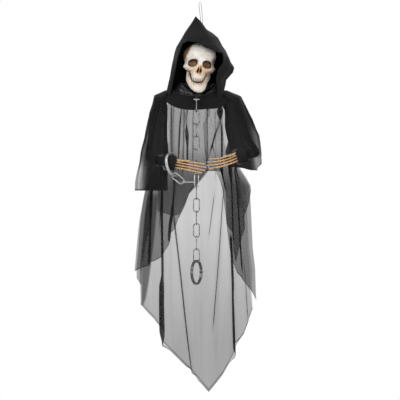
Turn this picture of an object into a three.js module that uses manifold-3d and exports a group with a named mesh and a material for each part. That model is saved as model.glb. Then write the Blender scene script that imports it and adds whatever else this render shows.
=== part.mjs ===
// Hanging hooded skeleton figure: skull, jaw, hands, chains and shackles under a sheer hooded robe.
// Millimetres, +Z up. The origin is the top of the wire loop, where a ceiling hook bears.
// The front faces -Y, and +X is the viewer's right.
import * as THREE from 'three'
import Module from 'manifold-3d'
import { mergeVertices } from 'three/addons/utils/BufferGeometryUtils.js'

const wasm = await Module()
wasm.setup()

// Shared clearances
const seatGap = 0.3
const cutOverrun = 40
const mergeTolerance = 0.001

// Facets
const linkSides = 6
const linkBendSteps = 6
const linkSideSteps = 2
const craniumAround = 16
const craniumRows = 10
const ballAround = 10
const ballRows = 6
const smallAround = 6
const smallRows = 4
const boneSides = 5
const boneSteps = 5
const armSides = 10
const armSteps = 12
const wireSides = 5
const wireSteps = 20
const halfRingSteps = 10
const arcFacets = 24

// Wire loop and the plug on the crown
const loopWireRadius = 1
const loopGap = 8
const plugRadius = 8
const plugHeight = 5
const crownLift = 0.1
const loopLean = 2

// Skull
const skullHeight = 204
const skullTop = -164
const cheekWidth = 129
const craniumWidth = 134
const skullDepth = 166
const skullForward = 8
const skullX = 2
const skullRoll = THREE.MathUtils.degToRad(4)
const skullYaw = THREE.MathUtils.degToRad(3)
const eyeSpacing = 59
const eyeDrop = 88
const socketWidth = 38
const socketHeight = 31
const socketDepth = 42
const noseDrop = 28
const noseWidth = 9
const noseHeight = 25
const noseSpacing = 12
const mouthDrop = 70
const upperTeeth = 10
const toothWidth = 7
const toothHeight = 12
const toothThickness = 7
const shellSplit = 14

// Jaw
const jawWidth = 96
const jawDepth = 74
const jawBarThickness = 15
const chinHeight = 38
const jawHingeDrop = 34
const jawPinRadius = 2.5
const jawPinWall = 5
const jawEarThickness = 7
const jawRunningGap = 0.5
const jawHingeBack = -6
const jawEarDrop = 30
const baseDrop = 62
const neckRise = 28.4
const jawSteps = 8
const jawTaperShare = 0.12
const lowerTeethShare = 0.5
const jawBackHeight = 24
const jawBackDrop = 36
const jawFrontDrop = 61

// Neck and shoulders
const neckRadius = 15
const neckBack = 24
const hangerTop = -371
const hangerWidth = 290
const hangerThickness = 14
const hangerHeight = 18
const hangerSag = 20
const hangerOffset = -10

// Cloth, and the rings that the cloth follows
const clothThickness = 1.6
const layerStep = 2.6
const gownTop = -418
const gownLength = 1144
const seamGap = 0.4
const sewnShare = 0.82
const easeDrop = 110
const armholeDrop = 96
const armholePower = 8
const foldDepth = 13
const foldWidth = 21
const foldFade = 190
const gownColumns = 22
const gownRows = 15
const robeColumns = 14
const robeRows = 11
const bodyHalfDepth = 84

// Yoke, scarf and hood
const yokeTop = -352
const yokeFrontDip = 34
const yokeFrontDrop = 54
const yokeSideDrop = 34
const yokeTopHalfWidth = 92
const yokeHemHalfWidth = 134
const yokeTopHalfDepth = 62
const yokeHemHalfDepth = 96
const yokeMiddle = -18
const yokeRows = 3
const ringColumns = 20
const scarfTop = -326
const scarfFrontDip = 52
const scarfFootShare = 0.3
const scarfTopShare = 0.86
const scarfRipple = 3
const scarfRows = 5
const hoodTip = -62
const hoodLength = 330
const hoodRows = 12
const hoodHalfWidth = 124
const hoodFootShare = 0.45
const hoodEaseShare = 0.82
const hoodSide = 10
const faceTop = -168
const faceWidth = 186
const faceHeight = 228

// Arms, hands and sleeves
const armRadius = 13
const wristRadius = 12
const wristLength = 14
const palmLength = 52
const palmWidth = 46
const palmThickness = 13
const fingerLength = 74
const fingerRadius = 5.6
const fingerSpread = 10.6
const thumbLength = 50
const handForward = -172
const rightHandForward = -151
const wristAhead = 14
const wristLift = 20
const wristRise = 4
const leftCuffRadius = 32
const rightWristX = 146
const rightWristZ = -626
const rightCuffRadius = 31
const armReach = 300
const cuffLength = 46
const boreGap = 0.8
const sleeveRows = 8
const sleeveColumns = 16
const sleeveDrop = 350
const sleeveTop = -381
const mouthRadii = { left: [74, 86, 50], right: [52, 76, 46] }
const mouthBackShare = { left: 0.9, right: 0.45 }

// Chain
const linkWire = 4.6
const linkLength = 59.5
const linkWidth = 28
const chainX = -12
const chainForward = -130
const upperLinks = 6
const dropLinks = 6
const collarLinkDrop = -398
const tabWidth = 10
const tabHeight = 22
const middleTurn = THREE.MathUtils.degToRad(48)
const looseDrop = 3.4
const turnedGap = 0.9

// Shackles
const shackleRadius = 46
const shackleBand = 7
const shackleWidth = 11
const shackleTurn = THREE.MathUtils.degToRad(66)
const cuffTurn = THREE.MathUtils.degToRad(60)
const cuffTilt = THREE.MathUtils.degToRad(-12)
const cuffX = -106
const cuffForward = -148
const cuffZ = -656
const hookDrop = 8
const bendAllowance = THREE.MathUtils.degToRad(32)
const pinRadius = 1.6
const knuckleRadius = 6
const pinClearance = 0.3
const ringSettle = 1.1

// Colours, roughness and metalness
const finishes = {
  steel: { color: 0x9a9a9c, roughness: 0.35, metalness: 0.9 },
  bone: { color: 0xe8dcc4, roughness: 0.55, metalness: 0 },
  handBone: { color: 0xc79668, roughness: 0.6, metalness: 0 },
  blackPlastic: { color: 0x151515, roughness: 0.5, metalness: 0 },
  blackCloth: { color: 0x1c1c1d, roughness: 0.9, metalness: 0 },
  satin: { color: 0x16161a, roughness: 0.45, metalness: 0 },
  sheer: { color: 0x242426, roughness: 0.95, metalness: 0 },
  chain: { color: 0x8c8d8e, roughness: 0.3, metalness: 0.85 },
}

const group = new THREE.Group()

function addMesh(parent, name, geometry, finish) {
  const mesh = new THREE.Mesh(geometry, new THREE.MeshStandardMaterial(finishes[finish]))
  mesh.name = name
  parent.add(mesh)
  return mesh
}

// A closed geometry becomes a solid for joining and cutting.
function toSolid(geometry) {
  const bare = geometry.clone()
  bare.deleteAttribute('normal')
  bare.deleteAttribute('uv')
  const merged = mergeVertices(bare, mergeTolerance)
  const mesh = new wasm.Mesh({
    numProp: 3,
    vertProperties: new Float32Array(merged.attributes.position.array),
    triVerts: new Uint32Array(merged.index.array),
  })
  return new wasm.Manifold(mesh)
}

function fromSolid(solid) {
  const mesh = solid.getMesh()
  const geometry = new THREE.BufferGeometry()
  geometry.setAttribute('position', new THREE.BufferAttribute(new Float32Array(mesh.vertProperties), 3))
  geometry.setIndex(new THREE.BufferAttribute(new Uint32Array(mesh.triVerts), 1))
  geometry.computeVertexNormals()
  return geometry
}

const joined = (solids) => solids.reduce((whole, solid) => whole.add(solid))

// A ball stretched to three radii, turned about X, Y and Z, then moved.
const noTurn = [0, 0, 0]
function ball(radii, place, turn = noTurn, around = ballAround, rows = ballRows) {
  const shape = new THREE.SphereGeometry(1, around, rows)
  shape.scale(...radii)
  shape.rotateX(turn[0])
  shape.rotateY(turn[1])
  shape.rotateZ(turn[2])
  shape.translate(...place)
  return toSolid(shape)
}

const smallBall = (radii, place, turn) => ball(radii, place, turn, smallAround, smallRows)

function block(size, place) {
  const shape = new THREE.BoxGeometry(...size)
  shape.translate(...place)
  return toSolid(shape)
}

const mirrored = (x, make) => [make(-x, -1), make(x, 1)]

// Straight-line reading of a table of [where, value] rows.
function readTable(table, where) {
  if (where <= table[0][0]) return table[0][1]
  for (let i = 1; i < table.length; i++) {
    const [low, a] = table[i - 1]
    const [high, b] = table[i]
    if (where <= high) return THREE.MathUtils.lerp(a, b, (where - low) / (high - low))
  }
  return table[table.length - 1][1]
}

// A grid of points with a thickness: one closed skin from a front face, a back face and their rims.
// The surface function takes two shares and gives a point, and the wall grows away from the body.
function sheetSolid(surface, columns, rows, thickness, closedAround = false) {
  const ring = closedAround ? columns : columns + 1
  const points = []
  for (let j = 0; j <= rows; j++) {
    for (let i = 0; i < ring; i++) points.push(surface(i / columns, j / rows))
  }
  const at = (i, j) => points[j * ring + (closedAround ? (i + ring) % ring : i)]
  const normals = points.map((_, k) => {
    const i = k % ring
    const j = Math.floor(k / ring)
    const left = at(closedAround ? i - 1 : Math.max(i - 1, 0), j)
    const right = at(closedAround ? i + 1 : Math.min(i + 1, columns), j)
    const up = at(i, Math.max(j - 1, 0))
    const down = at(i, Math.min(j + 1, rows))
    const across = right.clone().sub(left)
    return across.cross(down.clone().sub(up)).normalize()
  })
  const outer = points.map((point, k) => point.clone().addScaledVector(normals[k], -thickness))
  const positions = [...points, ...outer].flatMap((point) => point.toArray())
  const count = points.length
  const index = []
  const quad = (a, b, c, d) => index.push(a, b, c, a, c, d)
  const id = (i, j) => j * ring + (closedAround ? i % ring : i)
  for (let j = 0; j < rows; j++) {
    for (let i = 0; i < columns; i++) {
      quad(id(i, j), id(i + 1, j), id(i + 1, j + 1), id(i, j + 1))
      quad(id(i, j) + count, id(i, j + 1) + count, id(i + 1, j + 1) + count, id(i + 1, j) + count)
    }
  }
  for (let i = 0; i < columns; i++) {
    quad(id(i, 0), id(i, 0) + count, id(i + 1, 0) + count, id(i + 1, 0))
    quad(id(i, rows), id(i + 1, rows), id(i + 1, rows) + count, id(i, rows) + count)
  }
  if (!closedAround) {
    for (let j = 0; j < rows; j++) {
      quad(id(0, j), id(0, j + 1), id(0, j + 1) + count, id(0, j) + count)
      quad(id(columns, j), id(columns, j) + count, id(columns, j + 1) + count, id(columns, j + 1))
    }
  }
  const geometry = new THREE.BufferGeometry()
  geometry.setAttribute('position', new THREE.Float32BufferAttribute(positions, 3))
  geometry.setIndex(index)
  geometry.computeVertexNormals()
  return geometry
}

// A round rod along a smooth path through the given points.
function rod(points, radius, sides, steps) {
  const section = new THREE.Shape(
    Array.from({ length: sides }, (_, i) => {
      const angle = (i / sides) * 2 * Math.PI
      return new THREE.Vector2(radius * Math.cos(angle), radius * Math.sin(angle))
    }),
  )
  const path = new THREE.CatmullRomCurve3(points, false, 'centripetal')
  return new THREE.ExtrudeGeometry(section, { steps, extrudePath: path, bevelEnabled: false })
}

function cylinder(radius, length, place, along) {
  const shape = new THREE.CylinderGeometry(radius, radius, length, arcFacets / 2)
  if (along === 'x') shape.rotateZ(Math.PI / 2)
  if (along === 'z') shape.rotateX(Math.PI / 2)
  shape.translate(...place)
  return shape
}

// Chain links

// The centre line of a link: two straight sides joined by half circles, standing in the XZ plane.
// Each bend has its own steps, so that a step falls on the point where the next link bears.
class LinkLine extends THREE.Curve {
  getPoint(share) {
    const radius = (linkWidth - linkWire) / 2
    const rise = (linkLength - linkWire) / 2 - radius
    const step = (((share % 1) + 1) % 1) * (2 * linkBendSteps + 2 * linkSideSteps)
    const half = linkBendSteps + linkSideSteps
    const way = step < half ? 1 : -1
    const along = step % half
    const bend = Math.min(along / linkBendSteps, 1) * Math.PI
    const drop = Math.max(along - linkBendSteps, 0) / linkSideSteps
    const height = rise + radius * Math.sin(bend) - 2 * rise * drop
    return new THREE.Vector3(way * radius * Math.cos(bend), 0, way * height)
  }

  getPointAt(share) {
    return this.getPoint(share)
  }

  getTangentAt(share) {
    return this.getTangent(share)
  }
}

const linkSteps = 2 * linkBendSteps + 2 * linkSideSteps
const linkGeometry = () => new THREE.TubeGeometry(new LinkLine(), linkSteps, linkWire / 2, linkSides, true)

const linkPitch = linkLength - 2 * linkWire - seatGap
const linkTop = (linkLength - linkWire) / 2

// A link hung at a place, turned about the vertical: 0 shows its face, a quarter turn its edge.
function addLink(parent, name, place, turn) {
  const mesh = addMesh(parent, name, linkGeometry(), 'chain')
  mesh.position.set(...place)
  mesh.rotation.z = turn
  return mesh
}

const edgeOn = Math.PI / 2
const firstLinkZ = collarLinkDrop - linkTop + linkWire + seatGap

// Collar link: it lies flat on the front of the yoke, and the chain hangs from its front bend.
const collarLink = addMesh(group, 'collar_link', linkGeometry(), 'chain')
collarLink.geometry.rotateX(Math.PI / 2)
collarLink.position.set(chainX, chainForward + linkTop, collarLinkDrop)

// Collar tab: a strap of webbing on the yoke that holds the rear bend of the collar link.
const tabOutlineShares = [
  [0.464, 0.5], [0.223, 0.12], [-0.19, 0.12], [-0.19, -0.12], [0.073, -0.12], [-0.168, -0.5],
  [-0.29, -0.455], [-0.29, 0.41], [-0.22, 0.5],
]
const tabShape = new THREE.Shape(
  tabOutlineShares.map(([forward, rise]) => new THREE.Vector2(forward * tabHeight, rise * tabHeight)),
)
const collarTab = new THREE.ExtrudeGeometry(tabShape, { depth: tabWidth, bevelEnabled: false })
collarTab.rotateX(Math.PI / 2)
collarTab.rotateZ(Math.PI / 2)
collarTab.translate(chainX - tabWidth / 2, chainForward + 2 * linkTop, collarLinkDrop)
addMesh(group, 'collar_tab', collarTab, 'blackCloth')

for (let i = 0; i < upperLinks; i++) {
  const turn = i % 2 === 0 ? edgeOn : 0
  addLink(group, `upper_link_${i + 1}`, [chainX, chainForward, firstLinkZ - i * linkPitch], turn)
}

const middleZ = firstLinkZ - upperLinks * linkPitch + looseDrop
addLink(group, 'middle_link', [chainX, chainForward, middleZ], middleTurn)
const dropZ = (i) => middleZ - (i + 1) * linkPitch + turnedGap
for (let i = 0; i < dropLinks; i++) {
  addLink(group, `drop_link_${i + 1}`, [chainX, chainForward, dropZ(i)], i % 2 === 0 ? edgeOn : 0)
}

// Shackles: two half rings that meet at a split, with a pinned knuckle on the other side.

// Half a ring of flat band with rounded edges, swept from one angle to another in the XZ plane.
function halfRing(from, to) {
  const bevel = shackleBand / 3
  const profile = [
    [-shackleBand / 2, -shackleWidth / 2 + bevel],
    [-shackleBand / 2 + bevel, -shackleWidth / 2],
    [shackleBand / 2 - bevel, -shackleWidth / 2],
    [shackleBand / 2, -shackleWidth / 2 + bevel],
    [shackleBand / 2, shackleWidth / 2 - bevel],
    [shackleBand / 2 - bevel, shackleWidth / 2],
    [-shackleBand / 2 + bevel, shackleWidth / 2],
    [-shackleBand / 2, shackleWidth / 2 - bevel],
  ]
  const positions = []
  for (let j = 0; j <= halfRingSteps; j++) {
    const angle = THREE.MathUtils.lerp(from, to, j / halfRingSteps)
    for (const [out, side] of profile) {
      const radius = shackleRadius + out
      positions.push(radius * Math.cos(angle), side, radius * Math.sin(angle))
    }
  }
  const sides = profile.length
  const index = []
  for (let j = 0; j < halfRingSteps; j++) {
    for (let i = 0; i < sides; i++) {
      const a = j * sides + i
      const b = j * sides + ((i + 1) % sides)
      index.push(a, b, b + sides, a, b + sides, a + sides)
    }
  }
  const last = halfRingSteps * sides
  for (let i = 1; i < sides - 1; i++) {
    index.push(0, i + 1, i)
    index.push(last, last + i, last + i + 1)
  }
  const geometry = new THREE.BufferGeometry()
  geometry.setAttribute('position', new THREE.Float32BufferAttribute(positions, 3))
  geometry.setIndex(index)
  return geometry
}

// The knuckle is three plates on one pin: the fixed half has the two outer plates.
function addShackle(parent, name, fixedNames = ['frame', 'gate', 'pin']) {
  const splitAngle = seatGap / shackleRadius
  const plate = shackleWidth / 3
  const knuckle = (width, middle) => toSolid(cylinder(knuckleRadius, width, [shackleRadius, middle, 0], 'y'))
  const bore = toSolid(cylinder(pinRadius + pinClearance, shackleWidth + cutOverrun, [shackleRadius, 0, 0], 'y'))
  const room = (width, middle) =>
    toSolid(cylinder(knuckleRadius + seatGap, width, [shackleRadius, middle, 0], 'y'))
  const upper = toSolid(halfRing(0, Math.PI - splitAngle))
    .subtract(room(plate + 2 * seatGap, 0))
    .add(knuckle(plate, -plate))
    .add(knuckle(plate, plate))
    .subtract(bore)
  const lower = toSolid(halfRing(-Math.PI + splitAngle, -splitAngle))
    .subtract(room(plate + seatGap, plate))
    .subtract(room(plate + seatGap, -plate))
    .add(knuckle(plate - 2 * seatGap, 0))
    .subtract(bore)
  const frame = addMesh(parent, `${name}_${fixedNames[0]}`, fromSolid(upper), 'chain')
  const gate = addMesh(parent, `${name}_${fixedNames[1]}`, fromSolid(lower), 'chain')
  const pin = addMesh(
    parent,
    `${name}_${fixedNames[2]}`,
    cylinder(pinRadius, shackleWidth, [shackleRadius, 0, 0], 'y'),
    'steel',
  )
  return [frame, gate, pin]
}

// The band bears on two points of the round bend that it passes through.
const dropShackle = new THREE.Group()
const bendRadius = (linkWidth - linkWire) / 2
const bendSag = bendRadius * (1 - Math.cos(Math.PI / (2 * linkBendSteps)))
const bendRoom = bendRadius - linkWire / 2 - bendSag - seatGap
const bandReach = Math.sqrt(bendRoom ** 2 - (shackleWidth / 2 / Math.sin(shackleTurn)) ** 2) - shackleBand / 2
const dropShackleZ = dropZ(dropLinks - 1) - linkTop + bendRadius - bandReach - shackleRadius - ringSettle
dropShackle.position.set(chainX, chainForward, dropShackleZ)
dropShackle.rotation.z = shackleTurn
group.add(dropShackle)
addShackle(dropShackle, 'drop_shackle')

// Wrist shackle: worn on the viewer's left cuff, square to the forearm.
const cuffShackle = new THREE.Group()
cuffShackle.position.set(cuffX, cuffForward, cuffZ)
cuffShackle.rotation.set(Math.PI + cuffTilt, 0, cuffTurn, 'ZYX')
group.add(cuffShackle)
addShackle(cuffShackle, 'cuff_shackle')

// Two links run from the bottom of the wrist shackle to the near side of the middle link, in a
// shallow V. Its two arms have known lengths, so the cosine rule gives their slopes.
const nearSide = new THREE.Vector3(-bendRadius * Math.cos(middleTurn), -bendRadius * Math.sin(middleTurn), -hookDrop)
const wristStart = new THREE.Vector3(0, 0, shackleRadius).applyEuler(cuffShackle.rotation).add(cuffShackle.position)
const wristEnd = new THREE.Vector3(chainX, chainForward, middleZ).add(nearSide)
const wristPull = wristEnd.clone().sub(wristStart)
const wristHang = new THREE.Group()
wristHang.position.copy(wristStart)
wristHang.rotation.z = Math.atan2(wristPull.y, wristPull.x)
group.add(wristHang)
const bentOverlap = (linkWire + seatGap) / 2 / Math.cos(bendAllowance)
const armOne = 2 * linkTop - bendRadius - bentOverlap
const armTwo = 2 * linkTop - bentOverlap - linkWire - seatGap
const span = wristPull.length()
const dip = -Math.asin(wristPull.z / span)
const openOne = Math.acos((armOne ** 2 + span ** 2 - armTwo ** 2) / (2 * armOne * span))
const openTwo = Math.acos((armTwo ** 2 + span ** 2 - armOne ** 2) / (2 * armTwo * span))

// A link in the hanging plane, with its middle a distance from a point along a slope below level.
function addSlantedLink(name, from, slope, toMiddle, turn) {
  const geometry = linkGeometry()
  geometry.rotateZ(turn)
  geometry.rotateY(Math.PI / 2 + slope)
  const mesh = addMesh(wristHang, name, geometry, 'chain')
  mesh.position.set(from[0] + toMiddle * Math.cos(slope), 0, from[1] - toMiddle * Math.sin(slope))
}

const slopeOne = dip + openOne
const slopeTwo = dip - openTwo
const lowPoint = [armOne * Math.cos(slopeOne), -armOne * Math.sin(slopeOne)]
addSlantedLink('wrist_link_1', [0, 0], slopeOne, linkTop - bendRadius, 0)
addSlantedLink('wrist_link_2', lowPoint, slopeTwo, linkTop - bentOverlap, edgeOn)

// Skull

const skull = new THREE.Group()
skull.position.set(skullX, -skullForward, skullTop - eyeDrop)
skull.rotation.set(0, skullRoll, skullYaw, 'ZYX')
group.add(skull)

const halfDepth = skullDepth / 2
const faceFront = -halfDepth
const cheekX = cheekWidth / 2
const eyeX = eyeSpacing / 2
const craniumHigh = eyeDrop * 0.7

function skullBlank() {
  const craniumRise = eyeDrop - craniumHigh
  const cranium = ball([craniumWidth / 2, halfDepth * 0.97, craniumHigh], [0, halfDepth * 0.03, craniumRise], noTurn, craniumAround, craniumRows)
  const brow = ball([cheekX * 0.83, halfDepth * 0.5, eyeDrop * 0.42], [0, faceFront * 0.49, eyeDrop * 0.12])
  const cheeks = mirrored(cheekX * 0.72, (x, side) =>
    ball([cheekX * 0.26, halfDepth * 0.3, eyeDrop * 0.16], [x, faceFront * 0.52, -eyeDrop * 0.26], [0, 0, side * 0.42]),
  )
  const arches = mirrored(cheekX * 0.86, (x) =>
    ball([cheekX * 0.13, halfDepth * 0.42, eyeDrop * 0.09], [x, faceFront * 0.27, -eyeDrop * 0.18]),
  )
  const rims = mirrored(eyeX, (x, side) =>
    ball([socketWidth * 0.62, socketDepth * 0.3, socketHeight * 0.2], [x, faceFront * 0.9, socketHeight * 0.5], [0, side * 0.12, 0]),
  )
  const muzzle = ball([cheekX * 0.46, halfDepth * 0.44, mouthDrop * 0.46], [0, faceFront * 0.54, -mouthDrop * 0.45])
  const gum = ball([cheekX * 0.43, halfDepth * 0.36, mouthDrop * 0.2], [0, faceFront * 0.62, -mouthDrop * 0.72])
  const bridge = ball([noseSpacing * 0.62, noseWidth * 1.1, noseHeight * 0.8], [0, faceFront * 0.93, -noseDrop * 0.3], [0.32, 0, 0])
  const ears = mirrored(jawWidth / 2 - jawEarThickness, (x) =>
    block([jawEarThickness, jawBarThickness, jawEarDrop], [x, jawHingeBack, -jawHingeDrop + jawEarDrop / 4]),
  )
  return joined([cranium, brow, ...cheeks, ...arches, ...rims, muzzle, gum, bridge, ...ears])
}

// Teeth stand in an arch, each a rounded peg; a positive side points them down.
function toothRow(count, reach, forward, height, drop, turnShare) {
  return Array.from({ length: count }, (_, i) => {
    const angle = ((i + 0.5) / count - 0.5) * Math.PI * turnShare
    const place = [reach * Math.sin(angle), forward - reach * Math.cos(angle), drop]
    return smallBall([toothWidth / 2, toothThickness / 2, height], place, [0, 0, angle])
  })
}

function skullHollows() {
  const sockets = mirrored(eyeX, (x, side) =>
    ball([socketWidth / 2, socketDepth, socketHeight / 2], [x, faceFront * 1.02, 0], [0, side * 0.12, -side * 0.2]),
  )
  const nose = mirrored(noseSpacing / 2, (x, side) =>
    smallBall([noseWidth / 2, noseHeight * 0.7, noseHeight / 2], [x, faceFront * 1.02, -noseDrop], [0, -side * 0.28, 0]),
  )
  const temples = mirrored(cheekX * 1.06, (x) =>
    ball([cheekX * 0.26, halfDepth * 0.26, eyeDrop * 0.34], [x, faceFront * 0.52, eyeDrop * 0.16]),
  )
  const pinBore = toSolid(cylinder(jawPinRadius + pinClearance, craniumWidth, [0, jawHingeBack, -jawHingeDrop], 'x'))
  const throat = block([craniumWidth, skullDepth, eyeDrop], [0, jawHingeBack + skullDepth / 2 + jawBarThickness, -baseDrop - eyeDrop / 2])
  return joined([...sockets, ...nose, ...temples, throat]).add(pinBore)
}

const skullSolid = skullBlank()
  .subtract(skullHollows())
  .add(joined(toothRow(upperTeeth, cheekX * 0.4, faceFront * 0.62, toothHeight, -mouthDrop + toothHeight, 0.84)))
const frontHalf = block([skullDepth * 2, skullDepth, skullHeight * 2], [0, shellSplit - skullDepth / 2, 0])
const backHalf = block([skullDepth * 2, skullDepth, skullHeight * 2], [0, shellSplit + seatGap + skullDepth / 2, 0])
addMesh(skull, 'skull_face', fromSolid(skullSolid.intersect(frontHalf)), 'bone')
addMesh(skull, 'skull_back', fromSolid(skullSolid.intersect(backHalf)), 'bone')

// Jaw: a bar bent into a U, with an upright at each end that carries the hinge ear.

const hingeX = jawWidth / 2

// A point of the bar: an angle from the chin, and shares of its thickness and height.
function jawPoint(angle, out, up) {
  const front = Math.cos(angle)
  const reach = hingeX * (1 - jawTaperShare * front ** 2) + out * jawBarThickness
  const height = THREE.MathUtils.lerp(jawBackHeight, chinHeight, front)
  const middle = -jawHingeDrop - THREE.MathUtils.lerp(jawBackDrop, jawFrontDrop, front)
  const forward = jawDepth + (out + 0.5) * jawBarThickness
  return [reach * Math.sin(angle), jawHingeBack - forward * front, middle + up * height]
}

function jawBar() {
  const positions = []
  const index = []
  const section = [[-0.5, -0.5], [0.5, -0.32], [0.5, 0.32], [-0.5, 0.5]]
  for (let j = 0; j <= jawSteps; j++) {
    const angle = (j / jawSteps - 0.5) * Math.PI
    for (const [out, up] of section) positions.push(...jawPoint(angle, out, up))
  }
  const sides = section.length
  for (let j = 0; j < jawSteps; j++) {
    for (let i = 0; i < sides; i++) {
      const a = j * sides + i
      const b = j * sides + ((i + 1) % sides)
      index.push(a, b + sides, b, a, a + sides, b + sides)
    }
  }
  const last = jawSteps * sides
  index.push(0, 1, 2, 0, 2, 3, last, last + 2, last + 1, last, last + 3, last + 2)
  const geometry = new THREE.BufferGeometry()
  geometry.setAttribute('position', new THREE.Float32BufferAttribute(positions, 3))
  geometry.setIndex(index)
  return toSolid(geometry)
}

function jawSolid() {
  const uprightDrop = jawBackDrop + jawPinWall
  const uprights = mirrored(hingeX + jawRunningGap, (x) =>
    block([jawEarThickness, jawBarThickness * 1.4, uprightDrop], [x, jawHingeBack, -jawHingeDrop + jawPinWall - uprightDrop / 2]),
  )
  const chin = ball([hingeX * 0.42, jawBarThickness * 0.7, chinHeight * 0.5], jawPoint(0, 0, -0.16))
  const teeth = Array.from({ length: upperTeeth - 2 }, (_, i) => {
    const angle = ((i + 0.5) / (upperTeeth - 2) - 0.5) * Math.PI * lowerTeethShare
    return smallBall([toothWidth / 2, toothThickness / 2, toothHeight * 0.3], jawPoint(angle, -0.1, 0.46), [0, 0, angle])
  })
  const bore = toSolid(cylinder(jawPinRadius + pinClearance, craniumWidth, [0, jawHingeBack, -jawHingeDrop], 'x'))
  return joined([jawBar(), ...uprights, chin, ...teeth]).subtract(bore)
}
addMesh(skull, 'jaw', fromSolid(jawSolid()), 'bone')
for (const [side, name] of [[-1, 'jaw_pin_left'], [1, 'jaw_pin_right']]) {
  const length = 2 * jawEarThickness + jawRunningGap
  const middle = side * (hingeX - jawEarThickness / 2 + jawRunningGap / 2)
  addMesh(skull, name, cylinder(jawPinRadius, length, [middle, jawHingeBack, -jawHingeDrop], 'x'), 'steel')
}

// Wire loop: a hairpin that stands on a plug in the crown and passes out through the hood.

const crownX = skullX + eyeDrop * Math.sin(skullRoll)
const plugZ = skullTop + crownLift
const plug = cylinder(plugRadius, plugHeight, [crownX, -skullForward, plugZ + plugHeight / 2], 'z')
addMesh(group, 'crown_plug', plug, 'blackPlastic')
const legZ = plugZ + plugHeight + seatGap
const loopBend = loopGap / 2
const loopPoints = [
  [crownX - loopBend, legZ],
  [crownX - loopBend, legZ * 0.5],
  [-loopBend + loopLean, -loopGap],
  [-loopBend * 0.7 + loopLean, -loopBend * 0.6 - loopWireRadius],
  [loopLean, -loopWireRadius],
  [loopBend * 0.7 + loopLean, -loopBend * 0.6 - loopWireRadius],
  [loopBend + loopLean, -loopGap],
  [crownX + loopBend, legZ * 0.5],
  [crownX + loopBend, legZ],
].map(([x, z]) => new THREE.Vector3(x, -skullForward * (z / legZ), z))
addMesh(group, 'hanging_loop', rod(loopPoints, loopWireRadius, wireSides, wireSteps), 'steel')

// Neck post and shoulder hanger, which carry the cloth and the arms

const neckTop = skullTop - eyeDrop - baseDrop + neckRise
const neckLength = neckTop - hangerTop - seatGap
const post = cylinder(neckRadius, neckLength, [0, neckBack, neckTop - neckLength / 2], 'z')
addMesh(group, 'neck_post', post, 'blackPlastic')

const hangerShape = new THREE.Shape()
hangerShape.moveTo(-hangerWidth / 2, -hangerSag)
hangerShape.quadraticCurveTo(-neckRadius * 2, 0, -neckRadius * 1.5, 0)
hangerShape.lineTo(neckRadius * 1.5, 0)
hangerShape.quadraticCurveTo(neckRadius * 2, 0, hangerWidth / 2, -hangerSag)
hangerShape.lineTo(hangerWidth / 2, -hangerSag - hangerHeight)
hangerShape.quadraticCurveTo(0, -hangerHeight, -hangerWidth / 2, -hangerSag - hangerHeight)
const hanger = new THREE.ExtrudeGeometry(hangerShape, {
  depth: hangerThickness,
  bevelEnabled: false,
  curveSegments: arcFacets / 4,
})
hanger.rotateX(Math.PI / 2)
hanger.translate(hangerOffset, neckBack + hangerThickness / 2, hangerTop)
addMesh(group, 'shoulder_hanger', hanger, 'blackPlastic')

// Arms: wire cores in a black wrap, bent by hand and left as they are set.

// A table of places in shares of one length, moved to a start.
const placed = (shares, length, start) =>
  shares.map(([x, y, z]) => new THREE.Vector3(x, y, z).multiplyScalar(length).add(start))

const shoulderX = hangerWidth / 2 + armRadius + seatGap
const handPlans = {
  left: {
    shoulder: new THREE.Vector3(hangerOffset - shoulderX, neckBack, hangerTop - hangerSag),
    wrist: new THREE.Vector3(cuffX + wristAhead, handForward + wristLift, cuffZ + wristRise),
    aimShares: [0.963, -0.207, -0.178],
    bendShares: [[0, 0, 0.02], [0, -0.02, -0.08], [-0.04, -0.163, -0.253], [-0.08, -0.313, -0.52]],
    fingerShares: [0.86, 1, 0.96, 0.8],
    cuffRadius: leftCuffRadius,
    elbowShare: 2.3,
  },
  right: {
    shoulder: new THREE.Vector3(hangerOffset + shoulderX, neckBack, hangerTop - hangerSag),
    wrist: new THREE.Vector3(rightWristX, rightHandForward + wristLift / 2, rightWristZ),
    aimShares: [-0.97, -0.118, -0.213],
    bendShares: [[0, 0, 0.02], [0, -0.02, -0.08], [0.073, -0.163, -0.253], [0.133, -0.313, -0.503]],
    fingerShares: [0.82, 0.94, 1, 0.9],
    cuffRadius: rightCuffRadius,
    elbowShare: 1.7,
  },
}

// A finger: three bones end to end, thicker at each knuckle, revolved about +X.
function finger(length, base) {
  const profile = [new THREE.Vector2(0, 0)]
  for (let i = 0; i <= boneSteps; i++) {
    const share = i / boneSteps
    const knuckle = 0.84 + 0.16 * Math.cos(share * 6 * Math.PI)
    profile.push(new THREE.Vector2(base * (1 - 0.3 * share) * knuckle, length * share))
  }
  profile.push(new THREE.Vector2(0, length + base * 0.4))
  const bone = new THREE.LatheGeometry(profile, boneSides)
  bone.rotateZ(-Math.PI / 2)
  return bone
}

function turnedFinger(length, base, angle, place) {
  const bone = finger(length, base)
  bone.rotateY(angle)
  bone.translate(...place)
  return toSolid(bone)
}

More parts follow.
